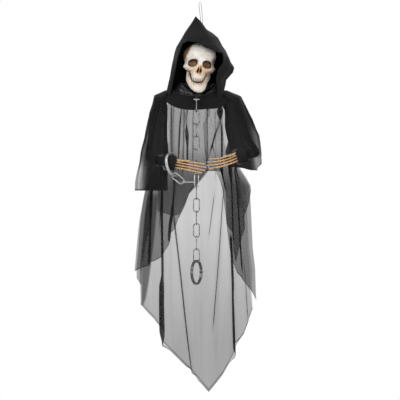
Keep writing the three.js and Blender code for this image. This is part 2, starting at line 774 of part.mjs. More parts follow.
function handSolid(plan) {
  const rowOf = (i) => 1.5 - i
  const fingers = plan.fingerShares.map((share, i) =>
    turnedFinger(fingerLength * share, fingerRadius, -rowOf(i) * 0.03, [palmLength * 0.94, 0, rowOf(i) * fingerSpread]),
  )
  const palmBones = plan.fingerShares.map((_, i) => {
    const fan = Math.atan2(rowOf(i) * (fingerSpread - fingerRadius), palmLength)
    return turnedFinger(palmLength, fingerRadius * 1.1, -fan, [wristRadius * 0.3, 0, rowOf(i) * fingerRadius])
  })
  const thumb = turnedFinger(thumbLength, fingerRadius * 1.1, -0.5, [wristRadius * 0.8, -palmThickness * 0.3, palmWidth * 0.2])
  const palm = ball([palmLength * 0.5, palmThickness * 0.38, palmWidth * 0.44], [palmLength * 0.54, 0, 0])
  const wristStub = toSolid(cylinder(wristRadius, wristLength, [wristLength / 2, 0, 0], 'x'))
  return joined([...fingers, ...palmBones, thumb, palm, wristStub])
}

// A padded cuff of gathered cloth round the wrist: it carries the shackle and hides the join.
function cuffGeometry(outer) {
  const bore = armRadius + boreGap
  const profile = [
    [bore, -cuffLength],
    [outer * 0.72, -cuffLength],
    [outer * 0.96, -cuffLength * 0.7],
    [outer, -cuffLength * 0.45],
    [outer * 0.97, -cuffLength * 0.2],
    [outer * 0.8, 0],
    [bore, 0],
    [bore, -cuffLength],
  ].map(([radius, along]) => new THREE.Vector2(radius, along))
  const cuff = new THREE.LatheGeometry(profile, arcFacets / 2)
  cuff.rotateZ(-Math.PI / 2)
  return cuff
}

for (const [side, plan] of Object.entries(handPlans)) {
  const aim = new THREE.Vector3(...plan.aimShares).normalize()
  const facing = new THREE.Quaternion().setFromUnitVectors(new THREE.Vector3(1, 0, 0), aim)
  const back = (distance) => plan.wrist.clone().addScaledVector(aim, -distance)
  const straight = [plan.elbowShare, 1.3, 0.7].map((share) => back(cuffLength * share))
  const path = [...placed(plan.bendShares, armReach, plan.shoulder), ...straight, back(seatGap)]
  addMesh(group, `arm_${side}`, rod(path, armRadius, armSides, armSteps), 'blackCloth')
  for (const [name, geometry, finish] of [
    [`hand_${side}`, fromSolid(handSolid(plan)), 'handBone'],
    [`cuff_${side}`, cuffGeometry(plan.cuffRadius), 'blackCloth'],
  ]) {
    const mesh = addMesh(group, name, geometry, finish)
    mesh.position.copy(name.startsWith('hand') ? plan.wrist : back(seatGap))
    mesh.quaternion.copy(facing)
  }
}

// Yoke: a short cape of opaque cloth that covers the tops of the panels.

const frontShare = (angle) => Math.max(Math.cos(angle), 0) ** 2
function yokePoint(angle, down, out) {
  const front = frontShare(angle)
  const top = yokeTop - front * yokeFrontDip
  const drop = THREE.MathUtils.lerp(yokeSideDrop, yokeFrontDrop, front)
  const halfWidth = THREE.MathUtils.lerp(yokeTopHalfWidth, yokeHemHalfWidth, down) + out
  const halfDepth = THREE.MathUtils.lerp(yokeTopHalfDepth, yokeHemHalfDepth, down) + out
  return new THREE.Vector3(yokeMiddle + halfWidth * Math.sin(angle), -halfDepth * Math.cos(angle), top - down * drop)
}

// Gown and robe: sheets that hang from the yoke on one set of rings, front and back.

// Half width, middle and half depth against the share of the gown's length.
const halfWidthShares = [
  [0, 0.094], [0.12, 0.096], [0.19, 0.108], [0.25, 0.148], [0.28, 0.166], [0.34, 0.174], [0.4, 0.18], [0.5, 0.187],
  [0.57, 0.1945], [0.66, 0.1935], [0.75, 0.196], [1, 0.196],
]
const middleShares = [
  [0, -0.016], [0.25, -0.007], [0.3, -0.007], [0.4, -0.012], [0.5, -0.0155], [0.57, -0.0155], [0.66, -0.0125],
  [0.8, -0.005], [1, -0.002],
]
const halfDepthShares = [[0, 0.84], [0.2, 0.98], [0.34, 0.88], [0.52, 0.62], [0.66, 0.6], [1, 0.44]]

// The top of each sheet lies inside the yoke, and eases out to the rings below it.
function robePoint(angle, z, out, inset) {
  const share = (gownTop - z) / gownLength
  const halfWidth = readTable(halfWidthShares, share) * gownLength + out
  const halfDepth = readTable(halfDepthShares, share) * bodyHalfDepth + out
  const middle = readTable(middleShares, share) * gownLength
  const open = new THREE.Vector3(middle + halfWidth * Math.sin(angle), -halfDepth * Math.cos(angle), z)
  const sewn = yokePoint(angle, sewnShare, -inset)
  const ease = THREE.MathUtils.smoothstep(sewn.z - z, 0, easeDrop)
  return sewn.setZ(z).lerp(open, ease)
}

// A fold is a soft ridge that runs down the cloth; its place is a share of the half width.
function foldRise(folds, place, z) {
  const share = (gownTop - z) / gownLength
  const fade = Math.min(1, (gownTop - z) / foldFade)
  const width = foldWidth / (halfWidthShares.at(-1)[1] * gownLength)
  return folds.reduce((rise, [top, bottom, size]) => {
    const away = (place - THREE.MathUtils.lerp(top, bottom, share)) / width
    return rise + size * foldDepth * fade * Math.exp(-(away ** 2))
  }, 0)
}

// A panel between two angles: hem shares give its length at each place across.
function panel(plan) {
  const layer = plan.layer * layerStep
  const inset = clothThickness * (plan.layer ? 1 : 2) + boreGap * (plan.layer ? 1.7 : 2.5)
  return sheetSolid(
    (across, down) => {
      const angle = THREE.MathUtils.lerp(plan.from, plan.to, across)
      const place = Math.sin(angle)
      const hem = gownTop - readTable(plan.hemShares, place) * gownLength
      const armhole = armholeDrop * Math.abs(Math.sin(angle)) ** armholePower
      const z = THREE.MathUtils.lerp(yokePoint(angle, sewnShare, 0).z - armhole, hem, down)
      return robePoint(angle, z, layer + foldRise(plan.foldShares, place, z), inset)
    },
    plan.columns,
    plan.rows,
    clothThickness,
  )
}

const quarter = Math.PI / 2
const seamAngle = seamGap / bodyHalfDepth
const frontHemShares = [
  [-1, 0.695], [-0.87, 0.726], [-0.77, 0.746], [-0.7, 0.77], [-0.615, 0.833], [-0.41, 0.873], [-0.125, 0.93], [0.174, 1],
  [0.43, 0.939], [0.61, 0.877], [0.68, 0.838], [0.815, 0.796], [0.925, 0.741], [1, 0.712],
]
const backHemLiftShare = 0.004
const backHemShares = frontHemShares.map(([place, share]) => [place, share - backHemLiftShare])
const leftRobeHemShares = [
  [-1, 0.579], [-0.73, 0.547], [-0.565, 0.526], [-0.515, 0.501], [-0.37, 0.435], [-0.306, 0.393], [-0.22, 0.35],
  [-0.153, 0.308], [0.08, 0.259], [0.2, 0.236],
]
const rightRobeHemShares = [
  [0.16, 0.22], [0.5, 0.235], [0.525, 0.41], [0.62, 0.459], [0.655, 0.54], [0.67, 0.545], [0.78, 0.459], [0.88, 0.384],
  [1, 0.296],
]
const robeBackHemShares = [
  [-1, 0.601], [-0.91, 0.63], [-0.86, 0.6], [-0.78, 0.54], [-0.5, 0.34], [0, 0.25], [0.44, 0.3], [0.6, 0.54],
  [0.694, 0.586], [0.84, 0.623], [0.943, 0.652], [1, 0.683],
]
const panels = {
  gown_front: {
    from: -quarter + seamAngle, to: quarter - seamAngle, columns: gownColumns, rows: gownRows, layer: 0,
    hemShares: frontHemShares,
    foldShares: [[-0.7, -0.62, 0.7], [-0.52, -0.16, 0.8], [-0.3, -0.35, 0.4], [0.02, -0.04, 0.3], [0.36, 0.14, 0.7], [0.62, 0.6, 1], [0.84, 0.86, 0.5]],
  },
  gown_back: {
    from: quarter + seamAngle, to: 3 * quarter - seamAngle, columns: robeColumns, rows: robeRows, layer: 0,
    hemShares: backHemShares,
    foldShares: [[-0.6, -0.5, 0.8], [-0.1, -0.1, 0.7], [0.4, 0.3, 0.8]],
  },
  robe_front_left: {
    from: -quarter + seamAngle, to: quarter * 0.13, columns: robeColumns, rows: robeRows, layer: 6.5,
    hemShares: leftRobeHemShares,
    foldShares: [[-0.8, -0.96, 1], [-0.5, -0.3, 0.6]],
  },
  robe_front_right: {
    from: quarter * 0.15, to: quarter - seamAngle, columns: robeColumns - 3, rows: robeRows, layer: 6.5,
    hemShares: rightRobeHemShares,
    foldShares: [[0.56, 0.56, 0.8], [0.86, 0.9, 0.8]],
  },
  robe_back: {
    from: quarter + seamAngle, to: 3 * quarter - seamAngle, columns: robeColumns, rows: robeRows - 2, layer: 6.5,
    hemShares: robeBackHemShares,
    foldShares: [[-0.75, -0.8, 0.8], [0.7, 0.8, 0.8]],
  },
}
for (const [name, plan] of Object.entries(panels)) addMesh(group, name, panel(plan), 'sheer')

const turnOf = (across) => (across * 2 - 1) * Math.PI
const yoke = sheetSolid((across, down) => yokePoint(turnOf(across), down, 0), ringColumns, yokeRows, clothThickness, true)
addMesh(group, 'yoke', yoke, 'blackCloth')

// Scarf: satin gathered round the neck, with its foot inside the yoke.
const scarf = sheetSolid(
  (across, down) => {
    const angle = turnOf(across)
    const foot = yokePoint(angle, 0, -clothThickness - boreGap * 4.9)
      .setZ(yokePoint(angle, scarfFootShare, 0).z)
    const top = scarfTop - frontShare(angle) * scarfFrontDip
    const ripple = scarfRipple * Math.sin(angle * 5 + down * 4) * Math.sin(down * Math.PI)
    const narrow = THREE.MathUtils.lerp(scarfTopShare, 1, down)
    return new THREE.Vector3(
      yokeMiddle * down + (foot.x - yokeMiddle) * narrow + ripple * Math.sin(angle),
      foot.y * narrow - ripple * Math.cos(angle),
      THREE.MathUtils.lerp(top, foot.z, down),
    )
  },
  ringColumns, scarfRows, clothThickness, true,
)
addMesh(group, 'neck_scarf', scarf, 'satin')

// Hood: a pointed cone of cloth from the tip to the shoulders, cut open round the face.

// Left reach, right reach, front reach and back reach of each ring against the share of its height.
const hoodRingShares = [
  [0, [0.1, -0.03, 0.03, 0.03]], [0.06, [0.22, 0.04, 0.11, 0.2]], [0.16, [0.4, 0.24, 0.38, 0.45]],
  [0.255, [0.57, 0.57, 0.68, 0.66]], [0.364, [0.74, 0.73, 0.94, 0.82]], [0.49, [0.81, 0.94, 1, 0.92]],
  [0.624, [0.88, 1.1, 0.94, 0.94]], [0.68, [0.92, 1.06, 0.9, 0.92]], [0.77, [0.96, 0.84, 0.8, 0.86]],
  [0.9, [1.05, 0.8, 0.7, 0.74]],
]

function readRings(rings, where) {
  return rings[0][1].map((_, k) => readTable(rings.map(([share, values]) => [share, values[k]]), where))
}

function hoodPoint(angle, down) {
  const foot = yokePoint(angle, hoodFootShare, boreGap * 2 + clothThickness)
  const z = THREE.MathUtils.lerp(hoodTip, foot.z, down)
  const [left, right, front, back] = readRings(hoodRingShares, (hoodTip - z) / hoodLength)
  const reachX = Math.sin(angle) < 0 ? left : right
  const reachY = Math.cos(angle) > 0 ? front : back
  const open = new THREE.Vector3(reachX * Math.sin(angle), -reachY * Math.cos(angle), 0).multiplyScalar(hoodHalfWidth)
  const ease = THREE.MathUtils.smoothstep(down, hoodEaseShare, 1)
  return open.setZ(z).lerp(foot, ease)
}

// The face opening, from the brim down past the shoulders, in shares of its width and height.
const faceShares = [
  [-0.34, 0], [-0.46, -0.2], [-0.52, -0.42], [-0.56, -0.62], [-0.6, -0.8], [-0.66, -1.2], [0.46, -1.2], [0.41, -0.86],
  [0.36, -0.62], [0.39, -0.5], [0.48, -0.36], [0.51, -0.22], [0.35, -0.17], [0.14, -0.1], [-0.05, -0.02], [-0.19, 0.02],
]
const faceOutline = new THREE.Shape(
  faceShares.map(([x, z]) => new THREE.Vector2(x * faceWidth, faceTop + z * faceHeight)),
)
const faceCut = new THREE.ExtrudeGeometry(faceOutline, { depth: hoodHalfWidth * 2, bevelEnabled: false })
faceCut.rotateX(quarter)
faceCut.translate(0, -hoodSide, 0)
const holePlace = [(loopLean + crownX) / 2, -skullForward / 2, hoodTip - hoodLength / 10]
const wireHole = cylinder(loopGap * 1.25, hoodLength / 4, holePlace, 'z')
const hoodSheet = sheetSolid((across, down) => hoodPoint(turnOf(across), down), ringColumns, hoodRows, clothThickness, true)
const hood = toSolid(hoodSheet).subtract(toSolid(faceCut)).subtract(toSolid(wireHole))
addMesh(group, 'hood', fromSolid(hood), 'blackCloth')

// Sleeves: wide tubes of sheer cloth from the shoulder round the forearm, open at the hem.

// Each ring has its middle, its half depth, and the way and reach of its outer side.
const sleeves = {
  left: {
    start: [0.0557, -0.016, 0],
    ringShares: [
      [0, [0.02, 0.06, -0.04, 0.17, -0.02, 0.11]], [0.12, [-0.09, 0.02, -0.12, 0.18, -0.052, 0.13]],
      [0.27, [-0.11, -0.07, -0.28, 0.15, -0.095, 0.08]], [0.48, [-0.126, -0.2, -0.5, 0.145, -0.112, 0.04]],
      [0.7, [-0.15, -0.385, -0.775, 0.12, -0.13, 0.01]], [1, [-0.155, -0.385, -1.08, 0.115, -0.183, 0]],
    ],
  },
  right: {
    start: [-0.129, 0, 0],
    ringShares: [
      [0, [0.01, 0.06, -0.04, 0.17, 0.02, 0.11]], [0.12, [0.13, 0.02, -0.12, 0.18, 0.05, 0.12]],
      [0.27, [0.17, -0.07, -0.3, 0.15, 0.11, 0.07]], [0.48, [0.225, -0.21, -0.5, 0.145, 0.16, 0.045]],
      [0.7, [0.25, -0.37, -0.69, 0.13, 0.165, 0.01]], [1, [0.285, -0.385, -0.85, 0.12, 0.125, 0]],
    ],
  },
}
for (const [side, plan] of Object.entries(sleeves)) {
  const { wrist, aimShares, shoulder } = handPlans[side]
  const start = new THREE.Vector3(...plan.start).multiplyScalar(sleeveDrop)
  start.add(new THREE.Vector3(shoulder.x, 0, sleeveTop))
  const tube = sheetSolid(
    (across, down) => {
      const angle = turnOf(across)
      const [x, y, z, depth, outX, outZ] = readRings(plan.ringShares, down).map((share) => share * sleeveDrop)
      const out = Math.sin(angle) * (side === 'left' ? -1 : 1)
      return new THREE.Vector3(x + outX * out, y - depth * Math.cos(angle), z + outZ * out).add(start)
    },
    sleeveColumns, sleeveRows, clothThickness, true,
  )
  const mouthPlace = wrist.clone().addScaledVector(new THREE.Vector3(...aimShares), -cuffLength * mouthBackShare[side])
  const mouth = ball(mouthRadii[side], mouthPlace.toArray())
  addMesh(group, `sleeve_${side}`, fromSolid(toSolid(tube).subtract(mouth)), 'sheer')
}

export default group
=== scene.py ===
"""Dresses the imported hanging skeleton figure: cloth, skull, hands, chain and shackles, in a pale studio."""
import logging
from collections.abc import Iterator, Sequence
from contextlib import contextmanager
from dataclasses import dataclass, field
from enum import Enum

import bmesh
import bpy
import numpy as np
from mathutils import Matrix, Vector


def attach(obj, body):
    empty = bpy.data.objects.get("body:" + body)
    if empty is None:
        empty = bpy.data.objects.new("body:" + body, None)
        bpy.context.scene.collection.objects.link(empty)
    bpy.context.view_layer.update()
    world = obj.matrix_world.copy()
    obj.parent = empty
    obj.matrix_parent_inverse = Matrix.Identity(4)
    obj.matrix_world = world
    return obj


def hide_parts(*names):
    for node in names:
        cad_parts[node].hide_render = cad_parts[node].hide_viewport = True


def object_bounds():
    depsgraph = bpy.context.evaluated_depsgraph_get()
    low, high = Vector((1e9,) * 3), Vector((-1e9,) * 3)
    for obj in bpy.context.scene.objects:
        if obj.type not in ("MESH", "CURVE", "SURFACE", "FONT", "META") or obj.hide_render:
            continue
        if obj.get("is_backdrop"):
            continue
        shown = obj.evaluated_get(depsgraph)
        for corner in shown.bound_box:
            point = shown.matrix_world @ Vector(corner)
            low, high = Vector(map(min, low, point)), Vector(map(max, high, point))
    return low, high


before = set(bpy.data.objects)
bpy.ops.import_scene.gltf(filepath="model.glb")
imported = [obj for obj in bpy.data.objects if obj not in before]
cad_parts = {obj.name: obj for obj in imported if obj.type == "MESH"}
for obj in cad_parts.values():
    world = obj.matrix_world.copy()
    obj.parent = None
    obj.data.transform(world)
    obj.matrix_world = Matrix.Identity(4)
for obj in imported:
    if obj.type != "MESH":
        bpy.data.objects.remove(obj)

log = logging.getLogger("figure")
Table = Sequence[Sequence[float]]
Point = tuple[float, float, float]
Colour = tuple[float, float, float]
Material = bpy.types.Material
Piece = bpy.types.Object
Socket = bpy.types.NodeSocket
MM = 0.001
QUARTER = np.pi / 2
FULL = 2 * np.pi
CAD_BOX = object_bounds()


class Side(Enum):
    """The side of the figure, as the viewer sees it. The value is its way along X."""

    LEFT = -1
    RIGHT = 1

    @property
    def word(self) -> str:
        """The side's name in the names of pieces."""
        return self.name.lower()


# Numpy shapes


def read_columns(table: Table, where: np.ndarray) -> list[np.ndarray]:
    """Reads each column after the first at the places where, in straight lines between the rows."""
    rows = np.asarray(table, float)
    return [np.interp(where, rows[:, 0], rows[:, k]) for k in range(1, rows.shape[1])]


def read_table(table: Table, where: np.ndarray) -> np.ndarray:
    """Reads a table of (place, value) rows at the places where."""
    return read_columns(table, where)[0]


def smooth(value: np.ndarray, low: float, high: float) -> np.ndarray:
    """Goes from 0 at low to 1 at high by the cubic 3t^2 - 2t^3, in the shape of value."""
    t = np.clip((np.asarray(value, float) - low) / (high - low), 0, 1)
    return t * t * (3 - 2 * t)


def bump(value: np.ndarray, middle: float, width: float) -> np.ndarray:
    """A bell curve exp(-((value - middle) / width)^2), in the shape of value."""
    return np.exp(-(((np.asarray(value, float) - middle) / width) ** 2))


def power(value: np.ndarray, exponent: float | np.ndarray) -> np.ndarray:
    """The size of value to a power, with the sign of value."""
    return np.sign(value) * np.abs(value) ** exponent


def darker(cover: np.ndarray, more: np.ndarray) -> np.ndarray:
    """The cover of two layers: what comes through is the product of what each lets through."""
    return 1 - (1 - cover) * (1 - more)


def darkest(*layers: np.ndarray) -> np.ndarray:
    """The greatest of several numbers for each point."""
    return np.maximum.reduce(np.broadcast_arrays(*layers))


def unit(vector: Sequence[float] | np.ndarray) -> np.ndarray:
    """The vectors of the last axis at length 1."""
    return np.asarray(vector) / np.maximum(np.linalg.norm(vector, axis=-1, keepdims=True), 1e-12)


def stack(x: np.ndarray, y: np.ndarray, z: np.ndarray) -> np.ndarray:
    """Points of three coordinates, each spread to the shape that they share."""
    return np.stack(np.broadcast_arrays(x, y, z), -1)


def circle(steps: int, start: float = 0.0) -> np.ndarray:
    """A row of even angles round one turn."""
    return np.linspace(start, start + FULL, steps, endpoint=False)[None]


def column(steps: int, start: float = 0.0, end: float = 1.0) -> np.ndarray:
    """A column of even numbers."""
    return np.linspace(start, end, steps)[:, None]


def turned(profile: np.ndarray, steps: int, off: float) -> np.ndarray:
    """Turns rows of (reach, place along Y) round an axis that lies off along X, as a grid of rings."""
    angle, reach = circle(steps), profile[:, :1]
    return stack(off + reach * np.cos(angle), profile[:, 1:], reach * np.sin(angle))


def soft_noise(place: np.ndarray, seed: int, waves: int, scale: float) -> np.ndarray:
    """Smooth noise: a sum of sine waves with seeded directions and phases, between about -1 and 1.

    Args:
        place: points, with coordinates on the last axis.
        seed: the seed of the draw.
        waves: how many waves are added.
        scale: the middle wave number, in turns for each unit of place.

    Returns:
        One number for each point.
    """
    draw = np.random.default_rng(seed)
    total = np.zeros(place.shape[:-1])
    for _ in range(waves):
        direction = draw.normal(size=place.shape[-1]) * scale * FULL
        total += np.sin(place @ direction + draw.uniform(0, FULL))
    return total / np.sqrt(waves * 2)


def lengths(line: np.ndarray) -> np.ndarray:
    """The run along a line of points up to each of them."""
    return np.concatenate([[0], np.cumsum(np.linalg.norm(np.diff(line, axis=0), axis=1))])


def spline(stops: np.ndarray, steps: int, fine: int = 24) -> np.ndarray:
    """A centripetal Catmull-Rom line: each span blends its four nearest points, by shares of their knots.

    Args:
        stops: the points that it passes, in mm.
        steps: how many points come back, at even steps of its run.
        fine: points worked out for each span.

    Returns:
        Points in mm.
    """
    ends = np.concatenate([[2 * stops[0] - stops[1]], stops, [2 * stops[-1] - stops[-2]]])
    parts = []
    for four in zip(ends, ends[1:], ends[2:], ends[3:]):
        knots = np.cumsum([0, *(np.linalg.norm(np.diff(four, axis=0), axis=1) ** 0.5)])
        t = np.linspace(knots[1], knots[2], fine, endpoint=False)[:, None]
        level = list(four)
        for gap, lows in ((1, (0, 1, 2)), (2, (0, 1)), (1, (1,))):
            level = [((knots[k + gap] - t) * a + (t - knots[k]) * b) / (knots[k + gap] - knots[k])
                     for k, a, b in zip(lows, level, level[1:])]
        parts.append(level[0])
    line = np.concatenate([*parts, stops[-1:]])
    run = lengths(line)
    even = np.linspace(0, run[-1], steps)
    return np.stack([np.interp(even, run, line[:, k]) for k in range(3)], -1)


def tube(path: np.ndarray, radius: np.ndarray | float, sides: int, closed: bool = False, flat: float = 1.0,
         side_way: Sequence[float] = (0.0, 1.0, 0.0)) -> np.ndarray:
    """Carries a round or oval section along a path.

    Each ring is the path's point plus radius times cos(angle) along the side way and radius times flat times
    sin(angle) along the other way, both square to the path.

    Args:
        path: points in mm.
        radius: the half width along the side way, one number or one for each point.
        sides: points round each ring.
        closed: the path's end meets its start.
        flat: the other half width as a share of radius.
        side_way: the direction that the side way follows.

    Returns:
        A grid of rings by sides.
    """
    ahead = unit(np.roll(path, -1, axis=0) - np.roll(path, 1, axis=0) if closed else np.gradient(path, axis=0))
    way = np.asarray(side_way)
    side = unit(way - ahead * np.sum(way * ahead, axis=1, keepdims=True))[:, None]
    up = np.cross(ahead, side[:, 0])[:, None]
    angle = circle(sides)[..., None]
    ring = side * np.cos(angle) + up * (np.sin(angle) * flat)
    return path[:, None] + ring * np.broadcast_to(radius, len(path))[:, None, None]


@contextmanager
def reshaping(piece: Piece) -> Iterator[bmesh.types.BMesh]:
    """Opens a piece's mesh for work, and writes it back afterwards.

    Args:
        piece: the piece.

    Returns:
        The mesh, open for work inside a with statement.
    """
    work = bmesh.new()
    work.from_mesh(piece.data)
    yield work
    work.to_mesh(piece.data)
    work.free()


@dataclass
class Skin:
    """Points and faces that are gathered before they go into one mesh."""

    points: list[np.ndarray] = field(default_factory=list)
    faces: list[np.ndarray] = field(default_factory=list)
    values: dict[str, list[np.ndarray]] = field(default_factory=dict)
    uvs: list[np.ndarray] = field(default_factory=list)

    def add(self, points: np.ndarray, uv: np.ndarray, values: dict[str, np.ndarray]) -> int:
        """Adds points with their flat places and named numbers.

        Args:
            points: points in mm, 3 coordinates on the last axis.
            uv: a flat place for each point.
            values: named numbers for each point.

        Returns:
            The number of the first one.
        """
        start = sum(len(p) for p in self.points)
        self.points.append(points.reshape(-1, 3))
        self.uvs.append(uv.reshape(-1, 2))
        for name, value in values.items():
            self.values.setdefault(name, []).append(value.reshape(-1))
        return start

    def grid(self, points: np.ndarray, around: bool = False, caps: bool = False, uv: np.ndarray | None = None,
             **values: np.ndarray | float) -> "Skin":
        """Adds a grid of points as a sheet of quads.

        Args:
            points: rows, columns and 3 coordinates, in mm. Faces look out where rows go down and columns run
                to the right as seen from outside.
            around: the last column joins the first.
            caps: the first and last rows are closed with a fan to their middle point.
            uv: a flat place for each point.
            values: named numbers for each point.

        Returns:
            The skin itself.
        """
        size = points.shape[:2]
        flat = np.zeros((*size, 2)) if uv is None else uv
        full = {name: np.broadcast_to(value, size) for name, value in values.items()}
        number = np.arange(size[0] * size[1]).reshape(size) + self.add(points, flat, full)
        right = np.roll(number, -1, axis=1) if around else number[:, 1:]
        left = number if around else number[:, :-1]
        self.faces.append(np.stack([left[:-1], left[1:], right[1:], right[:-1]], -1).reshape(-1, 4))
        for ring in (0, -1) if caps else ():
            means = {name: value[ring].mean(keepdims=True) for name, value in full.items()}
            middle = self.add(points[ring].mean(axis=0), flat[ring].mean(axis=0), means)
            a, b = (number[ring], np.roll(number[ring], -1))[::1 if ring == 0 else -1]
            self.faces.append(np.stack([np.full(size[1], middle), a, b], -1))
        return self

    def mesh(self, name: str) -> Piece:
        """Makes the object, in metres, smooth shaded.

        Args:
            name: the piece's name.

        Returns:
            The object.
        """
        points = np.concatenate(self.points) * MM
        loops = np.concatenate([face.ravel() for face in self.faces]).astype(np.int32)
        sizes = np.concatenate([np.full(len(face), face.shape[1]) for face in self.faces])
        starts = np.concatenate([[0], np.cumsum(sizes)[:-1]]).astype(np.int32)
        data = bpy.data.meshes.new(name)
        data.vertices.add(len(points))
        data.vertices.foreach_set("co", points.astype(np.float32).ravel())
        data.loops.add(len(loops))
        data.loops.foreach_set("vertex_index", loops)
        data.polygons.add(len(sizes))
        data.polygons.foreach_set("loop_start", starts)
        data.update(calc_edges=True)
        data.polygons.foreach_set("use_smooth", np.ones(len(sizes), bool))
        uv = data.uv_layers.new(name="UVMap")
        uv.data.foreach_set("uv", np.concatenate(self.uvs)[loops].astype(np.float32).ravel())
        for key, value in self.values.items():
            layer = data.attributes.new(key, "FLOAT", "POINT")
            layer.data.foreach_set("value", np.concatenate(value).astype(np.float32))
        data.validate()
        piece = bpy.data.objects.new(name, data)
        bpy.context.scene.collection.objects.link(piece)
        return piece

    def solid(self, name: str) -> Piece:
        """Makes the object as closed shells that face out: where two rims are open, it bridges them.

        Args:
            name: the piece's name.

        Returns:
            The object.
        """
        piece = self.mesh(name)
        with reshaping(piece) as work:
            rims = [edge for edge in work.edges if edge.is_boundary]
            if rims:
                bmesh.ops.bridge_loops(work, edges=rims)
            bmesh.ops.recalc_face_normals(work, faces=work.faces)
        faces = piece.data.polygons
        faces.foreach_set("use_smooth", np.ones(len(faces), bool))
        return piece


# Finishes


class Slot(Enum):
    """The record's material slots, passed along with new pieces."""

    STEEL = "steel"
    BONE = "bone"
    HAND_BONE = "hand_bone"
    BLACK_CLOTH = "black_cloth"
    SATIN = "satin"
    SHEER_CLOTH = "sheer_cloth"
    CHAIN = "chain"


class Graph:
    """The nodes of a new material or world, with short ways to add and join them."""

    def __init__(self, owner: bpy.types.ID, shader: str = "Principled BSDF") -> None:
        """Starts the nodes of a material or world that holds that shader.

        Args:
            owner: the material or world.
            shader: the name of its shader node.
        """
        owner.use_nodes = True
        self.owner, self.tree = owner, owner.node_tree
        self.shader = self.tree.nodes[shader]

    @classmethod
    def material(cls, name: str) -> "Graph":
        """The nodes of a new material."""
        return cls(bpy.data.materials.new(name))

    def feed(self, socket: Socket, value: object) -> None:
        """Joins a socket to an input, or sets the input to a number, a place or a colour.

        Args:
            socket: the input.
            value: a socket, a number, a place or a colour.
        """
        if isinstance(value, Socket):
            self.tree.links.new(value, socket)
        else:
            socket.default_value = (*value, 1) if socket.type == "RGBA" else value

    def add(self, kind: str, **values: object) -> bpy.types.Node:
        """Adds a node and sets its properties and inputs.

        Args:
            kind: the node's type in Blender.
            values: its properties, and its inputs by name with _ for a space.

        Returns:
            The node.
        """
        node = self.tree.nodes.new(kind)
        for key, value in values.items():
            if hasattr(node, key):
                setattr(node, key, value)
            else:
                self.feed(node.inputs[key.replace("_", " ")], value)
        return node

    def set(self, **values: object) -> None:
        """Feeds the shader's own sockets, by name with _ for a space."""
        for key, value in values.items():
            self.feed(self.shader.inputs[key.replace("_", " ")], value)

    def math(self, kind: str, *values: object, clamp: bool = False) -> Socket:
        """A math node of numbers or sockets.

        Args:
            kind: the operation's name in Blender.
            values: its numbers or sockets.
            clamp: whether the result stays between 0 and 1.

        Returns:
            The result's socket.
        """
        node = self.add("ShaderNodeMath", operation=kind, use_clamp=clamp)
        for socket, value in zip(node.inputs, values):
            self.feed(socket, value)
        return node.outputs[0]

    def line(self, value: Socket, slope: float, start: object) -> Socket:
        """The value times slope plus start."""
        return self.math("MULTIPLY_ADD", value, slope, start)

    def rest(self, value: object, clamp: bool = False) -> Socket:
        """One minus the value, kept between 0 and 1 where clamp says so."""
        return self.math("SUBTRACT", 1, value, clamp=clamp)

    def place(self) -> Socket:
        """The object's own coordinates."""
        return self.add("ShaderNodeTexCoord").outputs["Object"]

    def noise(self, scale: float, detail: float = 3.0, rough: float = 0.5,
              stretch: Sequence[float] = (1, 1, 1)) -> Socket:
        """Noise on object coordinates, from 0 to 1.

        Args:
            scale: waves for each metre.
            detail: how many finer layers are added.
            rough: how strong the finer layers are.
            stretch: a factor for each axis.

        Returns:
            The noise's socket.
        """
        turn = self.add("ShaderNodeMapping", Vector=self.place(), Scale=stretch).outputs[0]
        return self.add("ShaderNodeTexNoise", Vector=turn, Scale=scale, Detail=detail, Roughness=rough).outputs[0]

    def attribute(self, name: str) -> Socket:
        """The number that the mesh carries under that name."""
        return self.add("ShaderNodeAttribute", attribute_name=name).outputs["Fac"]

    def ramp(self, value: Socket, *stops: tuple[float, Colour]) -> Socket:
        """Colours by a number.

        Args:
            value: the number's socket.
            stops: rows of place and colour.

        Returns:
            The colour's socket.
        """
        node = self.add("ShaderNodeValToRGB", Fac=value)
        line = node.color_ramp.elements
        while len(line) < len(stops):
            line.new(0.5)
        for element, (place, colour) in zip(line, stops):
            element.position, element.color = place, (*colour, 1)
        return node.outputs["Color"]

    def mix(self, share: object, first: object, second: object, kind: str = "MIX") -> Socket:
        """Mixes two colours.

        Args:
            share: how much of the second, a number or a socket.
            first: a colour or a socket.
            second: a colour or a socket.
            kind: the way of mixing.

        Returns:
            The colour's socket.
        """
        node = self.add("ShaderNodeMix", data_type="RGBA", blend_type=kind)
        for number, value in ((0, share), (6, first), (7, second)):
            self.feed(node.inputs[number], value)
        return node.outputs[2]

    def relief(self, height: Socket, strength: float, distance: float) -> None:
        """Adds a bump from a height socket to the shader's normal."""
        self.set(Normal=self.add("ShaderNodeBump", Strength=strength, Distance=distance, Height=height).outputs[0])


def dim(colour: Colour, factor: float) -> Colour:
    """A colour times a factor."""
    return tuple(part * factor for part in colour)


